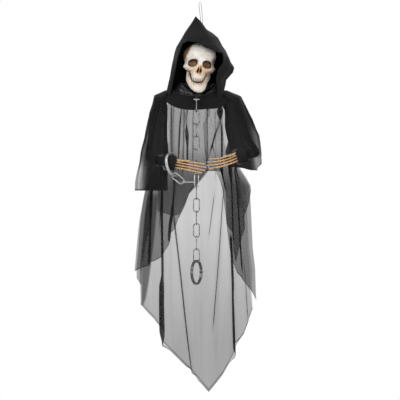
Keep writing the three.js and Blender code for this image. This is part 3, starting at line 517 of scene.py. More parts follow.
@dataclass(frozen=True)
class SheerCloth:
    """See-through black voile: its alpha is its cover, which rises along folds and hems."""

    name: str
    cover: float
    streaks: float = 0.05
    weave: float = 0.5
    shades: tuple[Colour, Colour] = ((0.0035, 0.0035, 0.004), (0.0115, 0.0115, 0.012))

    def build(self) -> Material:
        """Makes the material: cover plus slow streaks and fine threads, over the mesh's own gain.

        Returns:
            The material.
        """
        graph = Graph.material(self.name)
        streak = graph.noise(16, 4, 0.6, (1, 1, 0.12))
        thread = graph.noise(1500, 2, 0.5, (1, 1, 0.3))
        slope, weave = self.streaks * 4, self.cover * self.weave
        cover = graph.line(thread, weave, graph.line(streak, slope, self.cover - (slope + weave) / 2))
        clear = graph.math("MULTIPLY", graph.rest(cover), graph.rest(graph.attribute("gain")))
        graph.set(Base_Color=graph.ramp(thread, (0.3, self.shades[0]), (0.7, self.shades[1])), Roughness=0.85,
                  Specular_IOR_Level=0.15, Alpha=graph.rest(clear, clamp=True), Sheen_Weight=0.06,
                  Sheen_Roughness=0.5)
        return graph.owner


@dataclass(frozen=True)
class KnitCloth:
    """Opaque black cloth with a fine ribbed knit, a sheen and slow lighter patches of painted light."""

    name: str
    colour: Colour = (0.012, 0.0125, 0.013)
    ribs: float = 420.0
    patch_light: float = 2.6

    def build(self) -> Material:
        """Makes the material from fine waves and a fuzz, with a slow mottle of painted light: lighter patches that
        stand in for soft folds catching the lamps.

        Returns:
            The material.
        """
        graph = Graph.material(self.name)
        mottle = graph.noise(24, 4, 0.6)
        fuzz = graph.noise(900, 3, 0.7)
        wave = graph.add("ShaderNodeTexWave", Vector=graph.place(), Scale=self.ribs, Distortion=1.5, Detail=2.0)
        graph.relief(graph.line(fuzz, 0.8, wave.outputs["Fac"]), 0.25, 0.0006)
        # The mottle times the fuzz lightens the colour in slow patches: painted light, broken up by the fuzz.
        graph.set(Base_Color=graph.mix(graph.math("MULTIPLY", mottle, fuzz), self.colour, dim(self.colour, self.patch_light)),
                  Roughness=0.9, Specular_IOR_Level=0.2, Sheen_Weight=0.06, Sheen_Roughness=0.45)
        return graph.owner


@dataclass(frozen=True)
class Satin:
    """Black satin: smooth floats that catch a soft streak of light."""

    name: str
    shades: tuple[Colour, Colour] = ((0.008, 0.008, 0.01), (0.02, 0.02, 0.024))

    def build(self) -> Material:
        """Makes the material with fine stretched relief.

        Returns:
            The material.
        """
        graph = Graph.material(self.name)
        graph.relief(graph.noise(700, 2, 0.5, (1, 1, 0.08)), 0.15, 0.0004)
        graph.set(Base_Color=graph.ramp(graph.noise(30), (0.3, self.shades[0]), (0.75, self.shades[1])), Roughness=0.42,
                  Specular_IOR_Level=0.5, Sheen_Weight=0.2, Sheen_Roughness=0.3)
        return graph.owner


@dataclass(frozen=True)
class PlatedPlastic:
    """Silver-grey plated plastic: bright in slow patches, dull and darker elsewhere."""

    name: str
    bright: Colour = (0.48, 0.48, 0.49)
    dull: Colour = (0.08, 0.08, 0.082)
    scratched: Colour = (0.05, 0.05, 0.05)
    roughness: float = 0.22

    def build(self) -> Material:
        """Makes the material from a mottle and fine scratches.

        Returns:
            The material.
        """
        graph = Graph.material(self.name)
        mottle = graph.noise(120, 4, 0.6)
        scratch = graph.noise(900, 2, 0.6, (1, 1, 0.15))
        bright_patches = graph.ramp(mottle, (0.35, (0, 0, 0)), (0.68, (1, 1, 1)))
        tone = graph.mix(graph.math("MULTIPLY", scratch, 0.35), graph.mix(bright_patches, self.dull, self.bright), self.scratched)
        graph.relief(graph.noise(260, 4, 0.6), 0.2, 0.0006)
        graph.set(Base_Color=tone, Metallic=0.85, Roughness=graph.line(mottle, 0.22, self.roughness))
        return graph.owner


@dataclass(frozen=True)
class PaintedBone:
    """Moulded bone: a pale coat, and a brown wash that lies where the mesh says; the mesh's marks also carry painted
    shade.
    """

    name: str
    pale: Colour = (0.93, 0.91, 0.86)
    warm: Colour = (0.66, 0.36, 0.16)
    dark: Colour = (0.035, 0.018, 0.01)
    speck: Colour = (0.55, 0.42, 0.3)
    mottle: float = 0.25

    def build(self) -> Material:
        """Makes the material: the mesh's wash gives the warm stain, its depth the near-black in hollows; both also hold
        painted shade where the mesh puts it.

        Returns:
            The material.
        """
        graph = Graph.material(self.name)
        cloud, fine = graph.noise(38, 5, 0.62), graph.noise(260, 4, 0.65)
        grain = graph.line(cloud, self.mottle * 4, self.mottle * -1.8)
        wash = graph.math("ADD", graph.attribute("wash"), grain, clamp=True)
        blend = tuple(p * 0.62 + w * 0.38 for p, w in zip(self.pale, self.warm))
        stain = graph.ramp(wash, (0.0, self.pale), (0.35, blend), (0.75, self.warm), (1.0, dim(self.warm, 0.5)))
        stain = graph.mix(0.6, stain, graph.ramp(fine, (0.28, self.speck), (0.42, (1, 1, 1))), "MULTIPLY")
        graph.relief(graph.math("ADD", fine, cloud), 0.3, 0.0012)
        graph.set(Base_Color=graph.mix(graph.attribute("depth"), stain, self.dark), Roughness=0.58,
                  Specular_IOR_Level=0.35, Subsurface_Weight=0.04)
        return graph.owner


@dataclass(frozen=True)
class PlainMould:
    """Moulded or drawn material of one colour with a fine grain."""

    name: str
    colour: Colour
    roughness: float
    metal: float = 0.0

    def build(self) -> Material:
        """Makes the material with a slow mottle and a fine relief.

        Returns:
            The material.
        """
        graph = Graph.material(self.name)
        mottle = graph.noise(90, 4)
        graph.relief(graph.noise(1200, 2), 0.12, 0.0003)
        graph.set(Base_Color=graph.mix(mottle, dim(self.colour, 0.7), self.colour),
                  Roughness=graph.line(mottle, 0.16, self.roughness), Metallic=self.metal)
        return graph.owner


def dress(piece: Piece, material: Material, slot: Slot, body: str, *nodes: str) -> None:
    """Gives a new piece its finish and its body, and hides the CAD nodes that it replaces.

    Args:
        piece: the piece.
        material: its finish.
        slot: the record's material slot; not used.
        body: the body that it rides on.
        nodes: the CAD nodes that it replaces.
    """
    piece.data.materials.append(material)
    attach(piece, body)
    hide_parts(*nodes)
    log.info("%s rides on %s", piece.name, body)


def thicken(piece: Piece, thickness: float) -> None:
    """Gives a sheet a wall of that thickness in mm, half to each side."""
    wall = piece.modifiers.new("Wall", "SOLIDIFY")
    wall.thickness, wall.offset = thickness * MM, 0


# Studio


@dataclass
class Studio:
    """The camera at the photograph's place, soft lamps, a pale floor and a white world, in metres."""

    shown: float = 1.6
    middle: Point = (0.002, 0.0, -0.796)
    distance: float = 12.0
    sensor: float = 36.0
    floor_gap: float = 0.45
    floor_reach: float = 4.0
    floor_tone: Colour = (0.86, 0.86, 0.86)
    lamps: Sequence[tuple[str, Point, float, float]] = (
        ("KeyLamp", (-1.9, -3.2, 1.3), 2.0, 62), ("FillLamp", (2.6, -2.8, -0.4), 2.4, 26),
        ("BackLamp", (1.2, 3.0, 0.9), 2.0, 30))

    def build(self) -> None:
        """Builds the camera, the world, the floor and the lamps."""
        bpy.context.scene.view_settings.view_transform = "Standard"
        self.camera()
        self.world()
        self.floor()
        for name, place, size, watts in self.lamps:
            self.lamp(name, place, size, watts)
        log.info("studio: camera, world, floor and %d lamps", len(self.lamps))

    def camera(self) -> None:
        """A level camera in front, far enough for the flat look of a long lens."""
        data = bpy.data.cameras.new("Camera")
        data.sensor_width = self.sensor
        data.lens = self.sensor * self.distance / self.shown
        data.clip_end = 100.0
        view = bpy.data.objects.new("Camera", data)
        view.location = (self.middle[0], -self.distance, self.middle[2])
        view.rotation_euler = (QUARTER, 0, 0)
        bpy.context.scene.collection.objects.link(view)
        bpy.context.scene.camera = view

    def world(self) -> None:
        """A world that lights softly and shows white behind the object, in its gloss and through its cloth."""
        bpy.context.scene.world = bpy.data.worlds.new("Studio")
        graph = Graph(bpy.context.scene.world, "Background")
        rays = graph.add("ShaderNodeLightPath").outputs
        seen = graph.math("MAXIMUM", rays["Is Camera Ray"], rays["Is Glossy Ray"])
        seen = graph.math("MAXIMUM", seen, rays["Is Transmission Ray"])
        graph.set(Color=(1, 1, 1), Strength=graph.line(seen, 0.5, 0.5))

    def floor(self) -> None:
        """A pale floor below the hem, out of the front view."""
        reach = np.array([-self.floor_reach, self.floor_reach])
        points = stack(reach, -reach[:, None], CAD_BOX[0][2] - self.floor_gap) / MM
        floor = Skin().grid(points).mesh("Floor")
        graph = Graph.material("PaleFloor")
        graph.set(Base_Color=self.floor_tone, Roughness=0.8)
        floor.data.materials.append(graph.owner)
        floor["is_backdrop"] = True

    def lamp(self, name: str, place: Point, size: float, watts: float) -> None:
        """Adds a square soft lamp that faces the middle of the object.

        Args:
            name: the lamp's name.
            place: its place.
            size: its side.
            watts: its power.
        """
        data = bpy.data.lights.new(name, "AREA")
        data.shape, data.size, data.energy = "SQUARE", size, watts
        lamp = bpy.data.objects.new(name, data)
        lamp.location = place
        aim = Vector((0, 0, self.middle[2])) - Vector(place)
        lamp.rotation_euler = aim.to_track_quat("-Z", "Y").to_euler()
        bpy.context.scene.collection.objects.link(lamp)


# Cloth


@dataclass(frozen=True)
class Fold:
    """A fold that runs down a sheet: the cloth turns back on itself along a line.

    The line's ends are in mm. width is the half width of the turn, depth how far the layers part, tuck how far
    the cloth turns back, as a share of width, dense how much its shade adds and fade the run of its ends.
    """

    top_x: float
    top_z: float
    bottom_x: float
    bottom_z: float
    width: float = 11.0
    depth: float = 4.0
    tuck: float = 1.9
    dense: float = 0.2
    fade: float = 50.0

    def reach(self, x: np.ndarray, z: np.ndarray) -> tuple[np.ndarray, np.ndarray]:
        """How far points lie from the fold's line.

        Args:
            x: the points' x in mm.
            z: their height in mm.

        Returns:
            The distance over the fold's width, and how much of the fold there is at that height.
        """
        run = (z - self.top_z) / (self.bottom_z - self.top_z)
        soft = self.fade * 0.4
        part = smooth(z, self.bottom_z - self.fade, self.bottom_z + soft)
        part = part * (1 - smooth(z, self.top_z - soft, self.top_z + self.fade))
        return (x - self.top_x - (self.bottom_x - self.top_x) * run) / self.width, part


@dataclass
class Drape:
    """The rings that the yoke, the gown and the robe hang on, in mm and in shares of the gown's length."""

    yoke_top: float = -352
    yoke_front_dip: float = 34
    yoke_side_drop: float = 34
    yoke_front_more: float = 20
    yoke_half_width: float = 92
    yoke_half_depth: float = 62
    yoke_flare: tuple[float, float] = (42, 34)
    yoke_middle: float = -18
    gown_top: float = -418
    gown_length: float = 1144
    body_half_depth: float = 84
    sewn_share: float = 0.82
    ease_drop: float = 110
    armhole_drop: float = 96
    armhole_power: float = 16
    half_widths: Table = (
        (0, 0.094), (0.12, 0.096), (0.19, 0.108), (0.25, 0.148), (0.28, 0.166), (0.34, 0.174), (0.4, 0.18),
        (0.5, 0.187), (0.57, 0.1945), (0.66, 0.1935), (0.75, 0.196), (1, 0.196))
    middles: Table = ((0, -0.016), (0.25, -0.007), (0.3, -0.007), (0.4, -0.012), (0.5, -0.0155), (0.57, -0.0155),
                      (0.66, -0.0125), (0.8, -0.005), (1, -0.002))
    half_depths: Table = ((0, 0.84), (0.2, 0.98), (0.34, 0.88), (0.52, 0.62), (0.66, 0.6), (1, 0.44))

    def front(self, angle: np.ndarray) -> np.ndarray:
        """How far an angle is to the front: the square of its cosine, and 0 behind."""
        return np.maximum(np.cos(angle), 0) ** 2

    def yoke_point(self, angle: np.ndarray, down: np.ndarray | float, out: np.ndarray | float = 0.0) -> np.ndarray:
        """A point of the yoke: an oval whose widths and height go from top to hem with the share down.

        Args:
            angle: the turn from the front, in radians.
            down: the share of the way down.
            out: how far outside, in mm.

        Returns:
            Points in mm.
        """
        front = self.front(angle)
        drop = self.yoke_side_drop + self.yoke_front_more * front
        wide = self.yoke_half_width + self.yoke_flare[0] * down + out
        deep = self.yoke_half_depth + self.yoke_flare[1] * down + out
        return stack(self.yoke_middle + wide * np.sin(angle), -deep * np.cos(angle),
                     self.yoke_top - front * self.yoke_front_dip - down * drop)

    def share(self, z: np.ndarray) -> np.ndarray:
        """How far down the gown a height is."""
        return (self.gown_top - z) / self.gown_length

    def half_width(self, z: np.ndarray) -> np.ndarray:
        """The rings' half width at a height, in mm."""
        return read_table(self.half_widths, self.share(z)) * self.gown_length

    def half_depth(self, z: np.ndarray) -> np.ndarray:
        """The rings' half depth at a height, in mm."""
        return read_table(self.half_depths, self.share(z)) * self.body_half_depth

    def middle(self, z: np.ndarray) -> np.ndarray:
        """The rings' middle in X at a height, in mm."""
        return read_table(self.middles, self.share(z)) * self.gown_length

    def point(self, angle: np.ndarray, z: np.ndarray, out: np.ndarray, inset: float) -> np.ndarray:
        """A point of a sheet: an oval ring at height z, which eases in to the yoke's oval near the top.

        Args:
            angle: the turn from the front, in radians.
            z: the height in mm.
            out: how far outside the ring, in mm.
            inset: how far inside the yoke the top is sewn, in mm.

        Returns:
            Points in mm.
        """
        free = stack(self.middle(z) + (self.half_width(z) + out) * np.sin(angle),
                     -(self.half_depth(z) + out) * np.cos(angle), z)
        sewn = self.yoke_point(angle, self.sewn_share, -inset)
        ease = smooth(sewn[..., 2] - z, 0, self.ease_drop)[..., None]
        sewn[..., 2] = z
        return sewn * (1 - ease) + free * ease


@dataclass(frozen=True)
class Band:
    """A doubled strip of a sheet, between two edges given as x in mm against the height in mm below the top."""

    left: Table
    right: Table
    dense: float
    soft: float = 5.0
    top_soft: float = 20.0
    foot_soft: float = 8.0

    def shade(self, x: np.ndarray, z: np.ndarray) -> np.ndarray:
        """How much darker each point is: dense between the edges, nothing outside, and soft at each edge.

        Args:
            x: the points' x in mm.
            z: their height in mm.

        Returns:
            One number for each point.
        """
        (high, *_), (low, *_) = self.left[0], self.left[-1]
        wide = smooth(x - read_table(self.left, -z), -self.soft, self.soft)
        wide = wide * smooth(read_table(self.right, -z) - x, -self.soft, self.soft)
        tall = smooth(-z, high - self.top_soft, high + self.top_soft)
        return self.dense * wide * tall * (1 - smooth(-z, low - self.foot_soft, low + self.foot_soft))


@dataclass
class Panel:
    """One sheet that hangs from the yoke between two edges: angles against shares of the gown's length.

    folds holds a Fold's values in each row, hems shares of the gown's length against the sine of the angle, and
    shade the cover that the sheet gains against shares of that length.
    """

    name: str
    start: Table
    end: Table
    hems: Table
    folds: Table
    flat: tuple[float, float]
    area: float
    shade: Table
    seed: int
    out: float = 0.8
    inset: float = 5.2
    columns: int = 240
    rows: int = 110
    ripple: float = 5.0
    bands: Sequence[Band] = ()
    ripple_waves: int = 12
    ripple_share: float = 0.8
    ripple_size: Point = (1.2, 0.6, 700)
    ripple_start: tuple[float, float] = (20, 260)
    edge_drop: float = 60.0
    edge_share: float = 0.8
    crest: float = 0.6
    shade_share: float = 1.3
    least_cosine: float = 0.3
    hem_width: float = 5.0
    hem_gain: float = 0.75
    side_gain: float = 0.22
    plain_share: float = 0.488

    def skin(self, drape: Drape) -> Skin:
        """Works out the sheet.

        The angle runs evenly across. At each fold it first runs ahead and then turns back, by
        -tuck * width * t * exp(-t^2), where t is the distance from the fold's line over its width, while
        the cloth steps outwards by depth * (t * exp(-t^2 / 2) + crest * exp(-t^2)), so that three layers lie
        over each other.

        Args:
            drape: the rings.

        Returns:
            The sheet as a skin, with its gain of cover for each point.
        """
        across, down = np.linspace(0, 1, self.columns)[None], column(self.rows)
        run = drape.share(drape.yoke_top - self.edge_drop - drape.gown_length * self.edge_share * down)
        start, end = read_table(self.start, run), read_table(self.end, run)
        angle = start + (end - start) * across
        hem = drape.gown_top - read_table(self.hems, np.sin(angle)) * drape.gown_length
        armhole = drape.armhole_drop * np.abs(np.sin(angle)) ** drape.armhole_power
        top = drape.yoke_point(angle, drape.sewn_share)[..., 2] - armhole
        z = top + (hem - top) * down
        wide = drape.half_width(z)
        x = drape.middle(z) + (wide + self.out) * np.sin(angle)
        out, shift = np.full_like(z, self.out), np.zeros_like(z)
        dense = read_table(self.shade, drape.share(z))
        for fold in (Fold(*row) for row in self.folds):
            t, part = fold.reach(x, z)
            bell = np.exp(-t * t)
            shift -= fold.tuck * fold.width * t * bell * part
            out += fold.depth * (t * np.exp(-t * t / 2) + self.crest * bell) * part
            dense = darker(dense, fold.dense * np.exp(-((t * self.shade_share) ** 2)) * part)
        for band in self.bands:
            dense = darker(dense, band.shade(x, z))
        cosine = np.cos(angle)
        turn = shift / (wide * np.maximum(np.abs(cosine), self.least_cosine)) * np.where(cosine >= 0, 1, -1)
        place = stack(np.sin(angle), cosine, z / self.ripple_size[2]) * (*self.ripple_size[:2], 1)
        noise = soft_noise(place, self.seed, self.ripple_waves, self.ripple_share)
        out += self.ripple * noise * smooth(top - z, *self.ripple_start)
        dense = darker(dense, self.hem_gain * ((z - hem) < self.hem_width))
        dense = darker(dense, self.side_gain * (np.abs(across - 0.5) > self.plain_share))
        uv = np.stack(np.broadcast_arrays(across, 1 - down), -1)
        return Skin().grid(drape.point(angle + turn, z, out, self.inset), uv=uv, gain=dense)


SEAM = 0.005
FRONT = ((0, -QUARTER + SEAM),), ((0, QUARTER - SEAM),)
BACK = ((0, QUARTER + SEAM),), ((0, 3 * QUARTER - SEAM),)
GOWN_FADE: Table = ((0, 0), (0.4, 0.015), (0.575, 0.108), (0.645, 0.134), (0.75, 0.18), (0.84, 0.214), (1, 0.22))
GOWN_HEM: Table = (
    (-1, 0.695), (-0.87, 0.726), (-0.77, 0.746), (-0.7, 0.77), (-0.615, 0.833), (-0.41, 0.873), (-0.125, 0.93),
    (0.174, 1), (0.43, 0.939), (0.61, 0.877), (0.68, 0.838), (0.815, 0.796), (0.925, 0.741), (1, 0.712))
BACK_LIFT = 0.0015
SIDE_PLEAT = Band(((770, -236), (1216, -232)),
                  ((770, -166), (920, -178), (1045, -194), (1130, -206), (1190, -217), (1216, -226)), 0.72)
GOWN = (
    Panel("gown_front_sheet", *FRONT, GOWN_HEM,
          ((-149, -760, -144, -1400, 12, 4, 2.1, 0.8), (-152, -1130, -150, -1330, 14, 3, 1.2, 0.5, 40),
           (-99, -860, -32, -1490, 10, 4, 1.9, 0.6), (58, -780, 38, -930, 9, 4, 1.9, 0.3),
           (95, -760, 55, -1290, 9, 4, 1.9, 0.6), (124, -940, 139, -1420, 16, 5, 2.2, 0.88, 30),
           (174, -1060, 190, -1260, 8, 4, 1.9, 0.4), (-20, -1180, -10, -1500, 14, 3, 1.0, 0.05),
           (104, -1180, 92, -1420, 16, 3, 1.0, 0.05)),
          (0.62, 1.15), 0.5, GOWN_FADE, 3, bands=(SIDE_PLEAT,)),
    Panel("gown_back_sheet", *BACK, [(place, share - BACK_LIFT) for place, share in GOWN_HEM],
          ((-118, -760, -106, -1350, 12, 4, 0.4, 0.06), (12, -640, 6, -1480, 9, 4, 0.4, 0.04),
           (84, -900, 66, -1400, 11, 4, 0.4, 0.06), (-60, -440, -66, -700, 9), (60, -440, 66, -700, 9)),
          (0.62, 1.12), 0.48, GOWN_FADE, 5))
ROBE = (
    Panel("robe_front_left_sheet", FRONT[0], ((0, QUARTER * 0.36), (0.12, QUARTER * 0.36), (0.22, QUARTER * 0.24),
                                              (0.3, QUARTER * 0.2), (1, 0.3)),
          ((-1, 0.579), (-0.73, 0.547), (-0.565, 0.526), (-0.515, 0.501), (-0.37, 0.435), (-0.306, 0.393),
           (-0.22, 0.35), (-0.153, 0.308), (0.08, 0.259), (0.2, 0.236), (0.3, 0.222)),
          ((-116, -420, -112, -690, 10, 4, 1.9, 0.8), (-100, -420, -99, -690, 9, 4, 1.9, 0.75),
           (-104, -700, -122, -960, 13, 4, 2.1, 0.6), (-190, -700, -206, -1080, 12, 4, 2.0, 0.4),
           (-74, -415, -82, -660, 9, 4, 1.9, 0.75), (-63, -420, -52, -540, 8, 4, 1.9, 0.6),
           (-46, -415, -48, -670, 9, 4, 1.9, 0.75), (-24, -430, -26, -640, 7, 3, 1.8, 0.35),
           (32, -415, 32, -660, 15, 3, 1.3, 0.92), (-150, -740, -160, -900, 15, 3, 1.2, 0.3),
           (-82, -700, -104, -860, 14, 3, 1.3, 0.45)),
          (0.42, 0.7), 0.17, ((0, 0), (0.14, 0.02), (0.22, 0.4), (0.28, 0.52), (0.4, 0.48), (1, 0.48)), 7,
          17.7, 2.8, 190, 90),
    Panel("robe_front_right_sheet", ((0, QUARTER * 0.25), (0.12, QUARTER * 0.25), (0.22, QUARTER * 0.15)), FRONT[1],
          ((0.12, 0.2), (0.3, 0.215), (0.5, 0.235), (0.525, 0.41), (0.62, 0.459), (0.655, 0.54), (0.67, 0.545),
           (0.78, 0.459), (0.88, 0.384), (1, 0.296)),
          ((114, -440, 132, -960, 10, 4, 2.1, 0.6), (138, -500, 150, -800, 10, 4, 2.0, 0.75),
           (90, -430, 44, -600, 10, 4, 1.9, 0.85), (88, -430, 89, -700, 11, 4, 1.9, 0.85),
           (112, -430, 118, -700, 9, 4, 1.9, 0.6), (160, -700, 178, -900, 16, 3, 1.2, 0.3)),
          (0.34, 0.42), 0.085, ((0, 0), (0.14, 0.05), (0.22, 0.42), (0.28, 0.64)), 9, 22.9, 2.8, 170, 90),
    Panel("robe_back_sheet", *BACK,
          ((-1, 0.601), (-0.91, 0.63), (-0.86, 0.4), (-0.8, 0.29), (-0.74, 0.3), (-0.7, 0.37), (-0.4, 0.386),
           (-0.306, 0.38), (-0.22, 0.34), (-0.153, 0.3), (0.08, 0.25), (0.2, 0.228), (0.44, 0.228), (0.56, 0.44),
           (0.62, 0.54), (0.694, 0.586), (0.84, 0.623), (0.943, 0.652), (1, 0.683)),
          ((-186, -560, -200, -1000, 11, 4, 2.0, 0.3), (138, -560, 170, -1080, 11, 4, 2.0, 0.4)),
          (0.58, 0.6), 0.22, ((0, 0), (0.15, 0), (0.22, 0.22), (0.28, 0.52), (1, 0.5)), 11, 17.7, 2.8, 220, 90))


@dataclass
class Robes:
    """The gown of two sheets and the open robe of three, all sewn to the yoke."""

    drape: Drape
    gown: SheerCloth = SheerCloth("GownVoile", 0.215)
    robe: SheerCloth = SheerCloth("RobeVoile", 0.26, 0.11)

    def build(self) -> None:
        """Builds and dresses each sheet."""
        for finish, panels in ((self.gown, GOWN), (self.robe, ROBE)):
            material = finish.build()
            for panel in panels:
                piece = panel.skin(self.drape).mesh(panel.name)
                dress(piece, material, Slot.SHEER_CLOTH, "figure", panel.name.removesuffix("_sheet"))


@dataclass(frozen=True)
class SleeveCut:
    """How one sleeve is cut.

    Its rings are rows of a place down the sleeve, then x, y, z, half depth and outward reach in x and z, all in
    shares of the sleeve's drop. trim takes in its outer side, limit is the least x of its inner side against the
    height below the top, lift raises the outer and the inner hem, and mouth is the middle and the half sizes of
    the slit, all in mm.
    """

    side: Side
    start: Point
    rings: Table
    mouth: Sequence[float]
    trim: Table
    limit: Table
    lift: tuple[float, float] = (0, 0)


@dataclass
class Sleeves:
    """Wide see-through sleeves: rings along each forearm that open downwards, with a slit for the hand."""

    drape: Drape
    drop: float = 350
    pull_most: float = 45
    body_overlap: float = 4
    folds: int = 9
    fold_depth: float = 3.2
    fold_lean: tuple[float, float] = (2.5, 5)
    pleats: int = 16
    pleat_depth: float = 1.4
    cover: float = 0.84
    foot_clear: float = 0.62
    side_clear: float = 0.5
    fold_gain: float = 0.3
    hem_gain: float = 0.4
    hem_share: float = 0.985
    finish: SheerCloth = SheerCloth("SleeveVoile", 0.5, 0.1)
    cuts: tuple[SleeveCut, SleeveCut] = (
        SleeveCut(Side.LEFT, (-148.8, -5.6, -381),
                  ((-0.05, 0.045, 0.05, -0.03, 0.15, -0.006, 0.1), (0, 0.02, 0.06, -0.04, 0.17, -0.02, 0.11),
                   (0.12, -0.09, 0.02, -0.12, 0.18, -0.052, 0.13), (0.27, -0.11, -0.07, -0.28, 0.15, -0.095, 0.08),
                   (0.48, -0.126, -0.2, -0.5, 0.145, -0.112, 0.04), (0.7, -0.15, -0.385, -0.775, 0.12, -0.13, 0.01),
                   (1, -0.155, -0.385, -1.08, 0.115, -0.183, 0)),
                  (-122, -152, -647, 56, 54, 37),
                  ((-0.05, 10), (0.1, 17), (0.2, 22), (0.3, 23), (0.48, 16), (0.6, 11), (0.9, 10), (1, 15)),
                  ((0, 128),)),
        SleeveCut(Side.RIGHT, (103.1, 0, -381),
                  ((-0.05, -0.02, 0.05, -0.03, 0.15, 0.006, 0.1), (0, 0.01, 0.06, -0.04, 0.17, 0.02, 0.11),
                   (0.12, 0.13, 0.02, -0.12, 0.18, 0.05, 0.12), (0.27, 0.17, -0.07, -0.3, 0.15, 0.11, 0.07),
                   (0.48, 0.225, -0.21, -0.5, 0.145, 0.16, 0.045), (0.7, 0.25, -0.37, -0.69, 0.13, 0.165, 0.01),
                   (1, 0.285, -0.385, -0.85, 0.12, 0.125, 0)),
                  (150, -148, -627, 56, 52, 32),
                  ((-0.05, 6), (0.1, 0), (0.3, -3), (0.48, 2), (0.6, 5), (1, 3)),
                  ((430, 100), (500, 104), (570, 118), (640, 122)), (25, 12)))
    columns: int = 120
    rows: int = 90

    def skin(self, cut: SleeveCut) -> Skin:
        """Works out a sleeve.

        Each ring is its middle plus its outward reach times sin(angle) and its depth times -cos(angle). Its inner
        side is pulled off the body, and folds run down it as waves round the ring.

        Args:
            cut: how the sleeve is cut.

        Returns:
            The sleeve as a skin, with its gain of cover for each point.
        """
        away = cut.side.value
        down = column(self.rows, cut.rings[0][0])
        angle = circle(self.columns, -np.pi)
        x, y, z, deep, out_x, out_z = (part * self.drop for part in read_columns(cut.rings, down))
        turn = np.sin(angle) * away
        points = stack(x + out_x * turn, y - deep * np.cos(angle), z + out_z * turn) + np.asarray(cut.start)
        inner = points[np.arange(self.rows), np.argmin(points[..., 0] * away, axis=1)]
        beside = np.sqrt(np.clip(1 - (inner[:, 1] / self.drape.half_depth(inner[:, 2])) ** 2, 0, 1))
        body = away * self.drape.middle(inner[:, 2]) + self.drape.half_width(inner[:, 2]) * beside
        limit = read_table(cut.limit, -inner[:, 2])
        pull = np.clip(away * inner[:, 0] - np.maximum(body - self.body_overlap, limit), 0, self.pull_most)[:, None]
        points[..., 0] -= away * pull * np.clip(-turn, 0, 1) ** 1.3
        points[..., 0] -= away * read_table(cut.trim, down) * np.clip(turn, 0, 1)
        lift = cut.lift[0] * smooth(turn, 0.5, 1.05) + cut.lift[1] * smooth(-turn, -0.2, 0.8)
        points[..., 2] += lift * smooth(down, 0.7, 1)
        way = unit(points - points.mean(axis=1, keepdims=True))
        phase = angle * self.folds + self.fold_lean[0] * np.sin(down * self.fold_lean[1])
        wave = np.sin(phase) * self.fold_depth + np.sin(angle * self.pleats + 4 * down) * self.pleat_depth
        points += way * (wave * smooth(down, 0.0, 0.35))[..., None]
        outer = smooth(turn, -0.1, 0.75)
        foot, side = smooth(down, 0.62, 0.8) * outer, smooth(down, 0.3, 0.5) * outer ** 3
        dense = self.cover - self.foot_clear * foot - self.side_clear * side
        dense = darker(dense, self.fold_gain * smooth(np.sin(phase + 1.2), 0.2, 0.9))
        dense = darker(dense, self.hem_gain * (down > self.hem_share))
        return Skin().grid(points[:, ::away], around=True, gain=dense[:, ::away])

    def build(self) -> None:
        """Builds, cuts and dresses both sleeves."""
        material = self.finish.build()
        for cut in self.cuts:
            piece = self.skin(cut).mesh(f"sleeve_{cut.side.word}_sheet")
            cut_mouth(piece, np.asarray(cut.mouth) * MM)
            dress(piece, material, Slot.SHEER_CLOTH, "figure", f"sleeve_{cut.side.word}")


def cut_mouth(piece: Piece, mouth: np.ndarray) -> None:
    """Deletes the faces whose middles lie inside an ellipsoid.

    Args:
        piece: the piece to cut.
        mouth: the ellipsoid's middle and half sizes in metres.
    """
    centres = np.empty(len(piece.data.polygons) * 3, np.float32)
    piece.data.polygons.foreach_get("center", centres)
    inside = np.sum(((centres.reshape(-1, 3) - mouth[:3]) / mouth[3:]) ** 2, axis=1) < 1
    with reshaping(piece) as work:
        work.faces.ensure_lookup_table()
        bmesh.ops.delete(work, geom=[work.faces[i] for i in np.nonzero(inside)[0]], context="FACES")


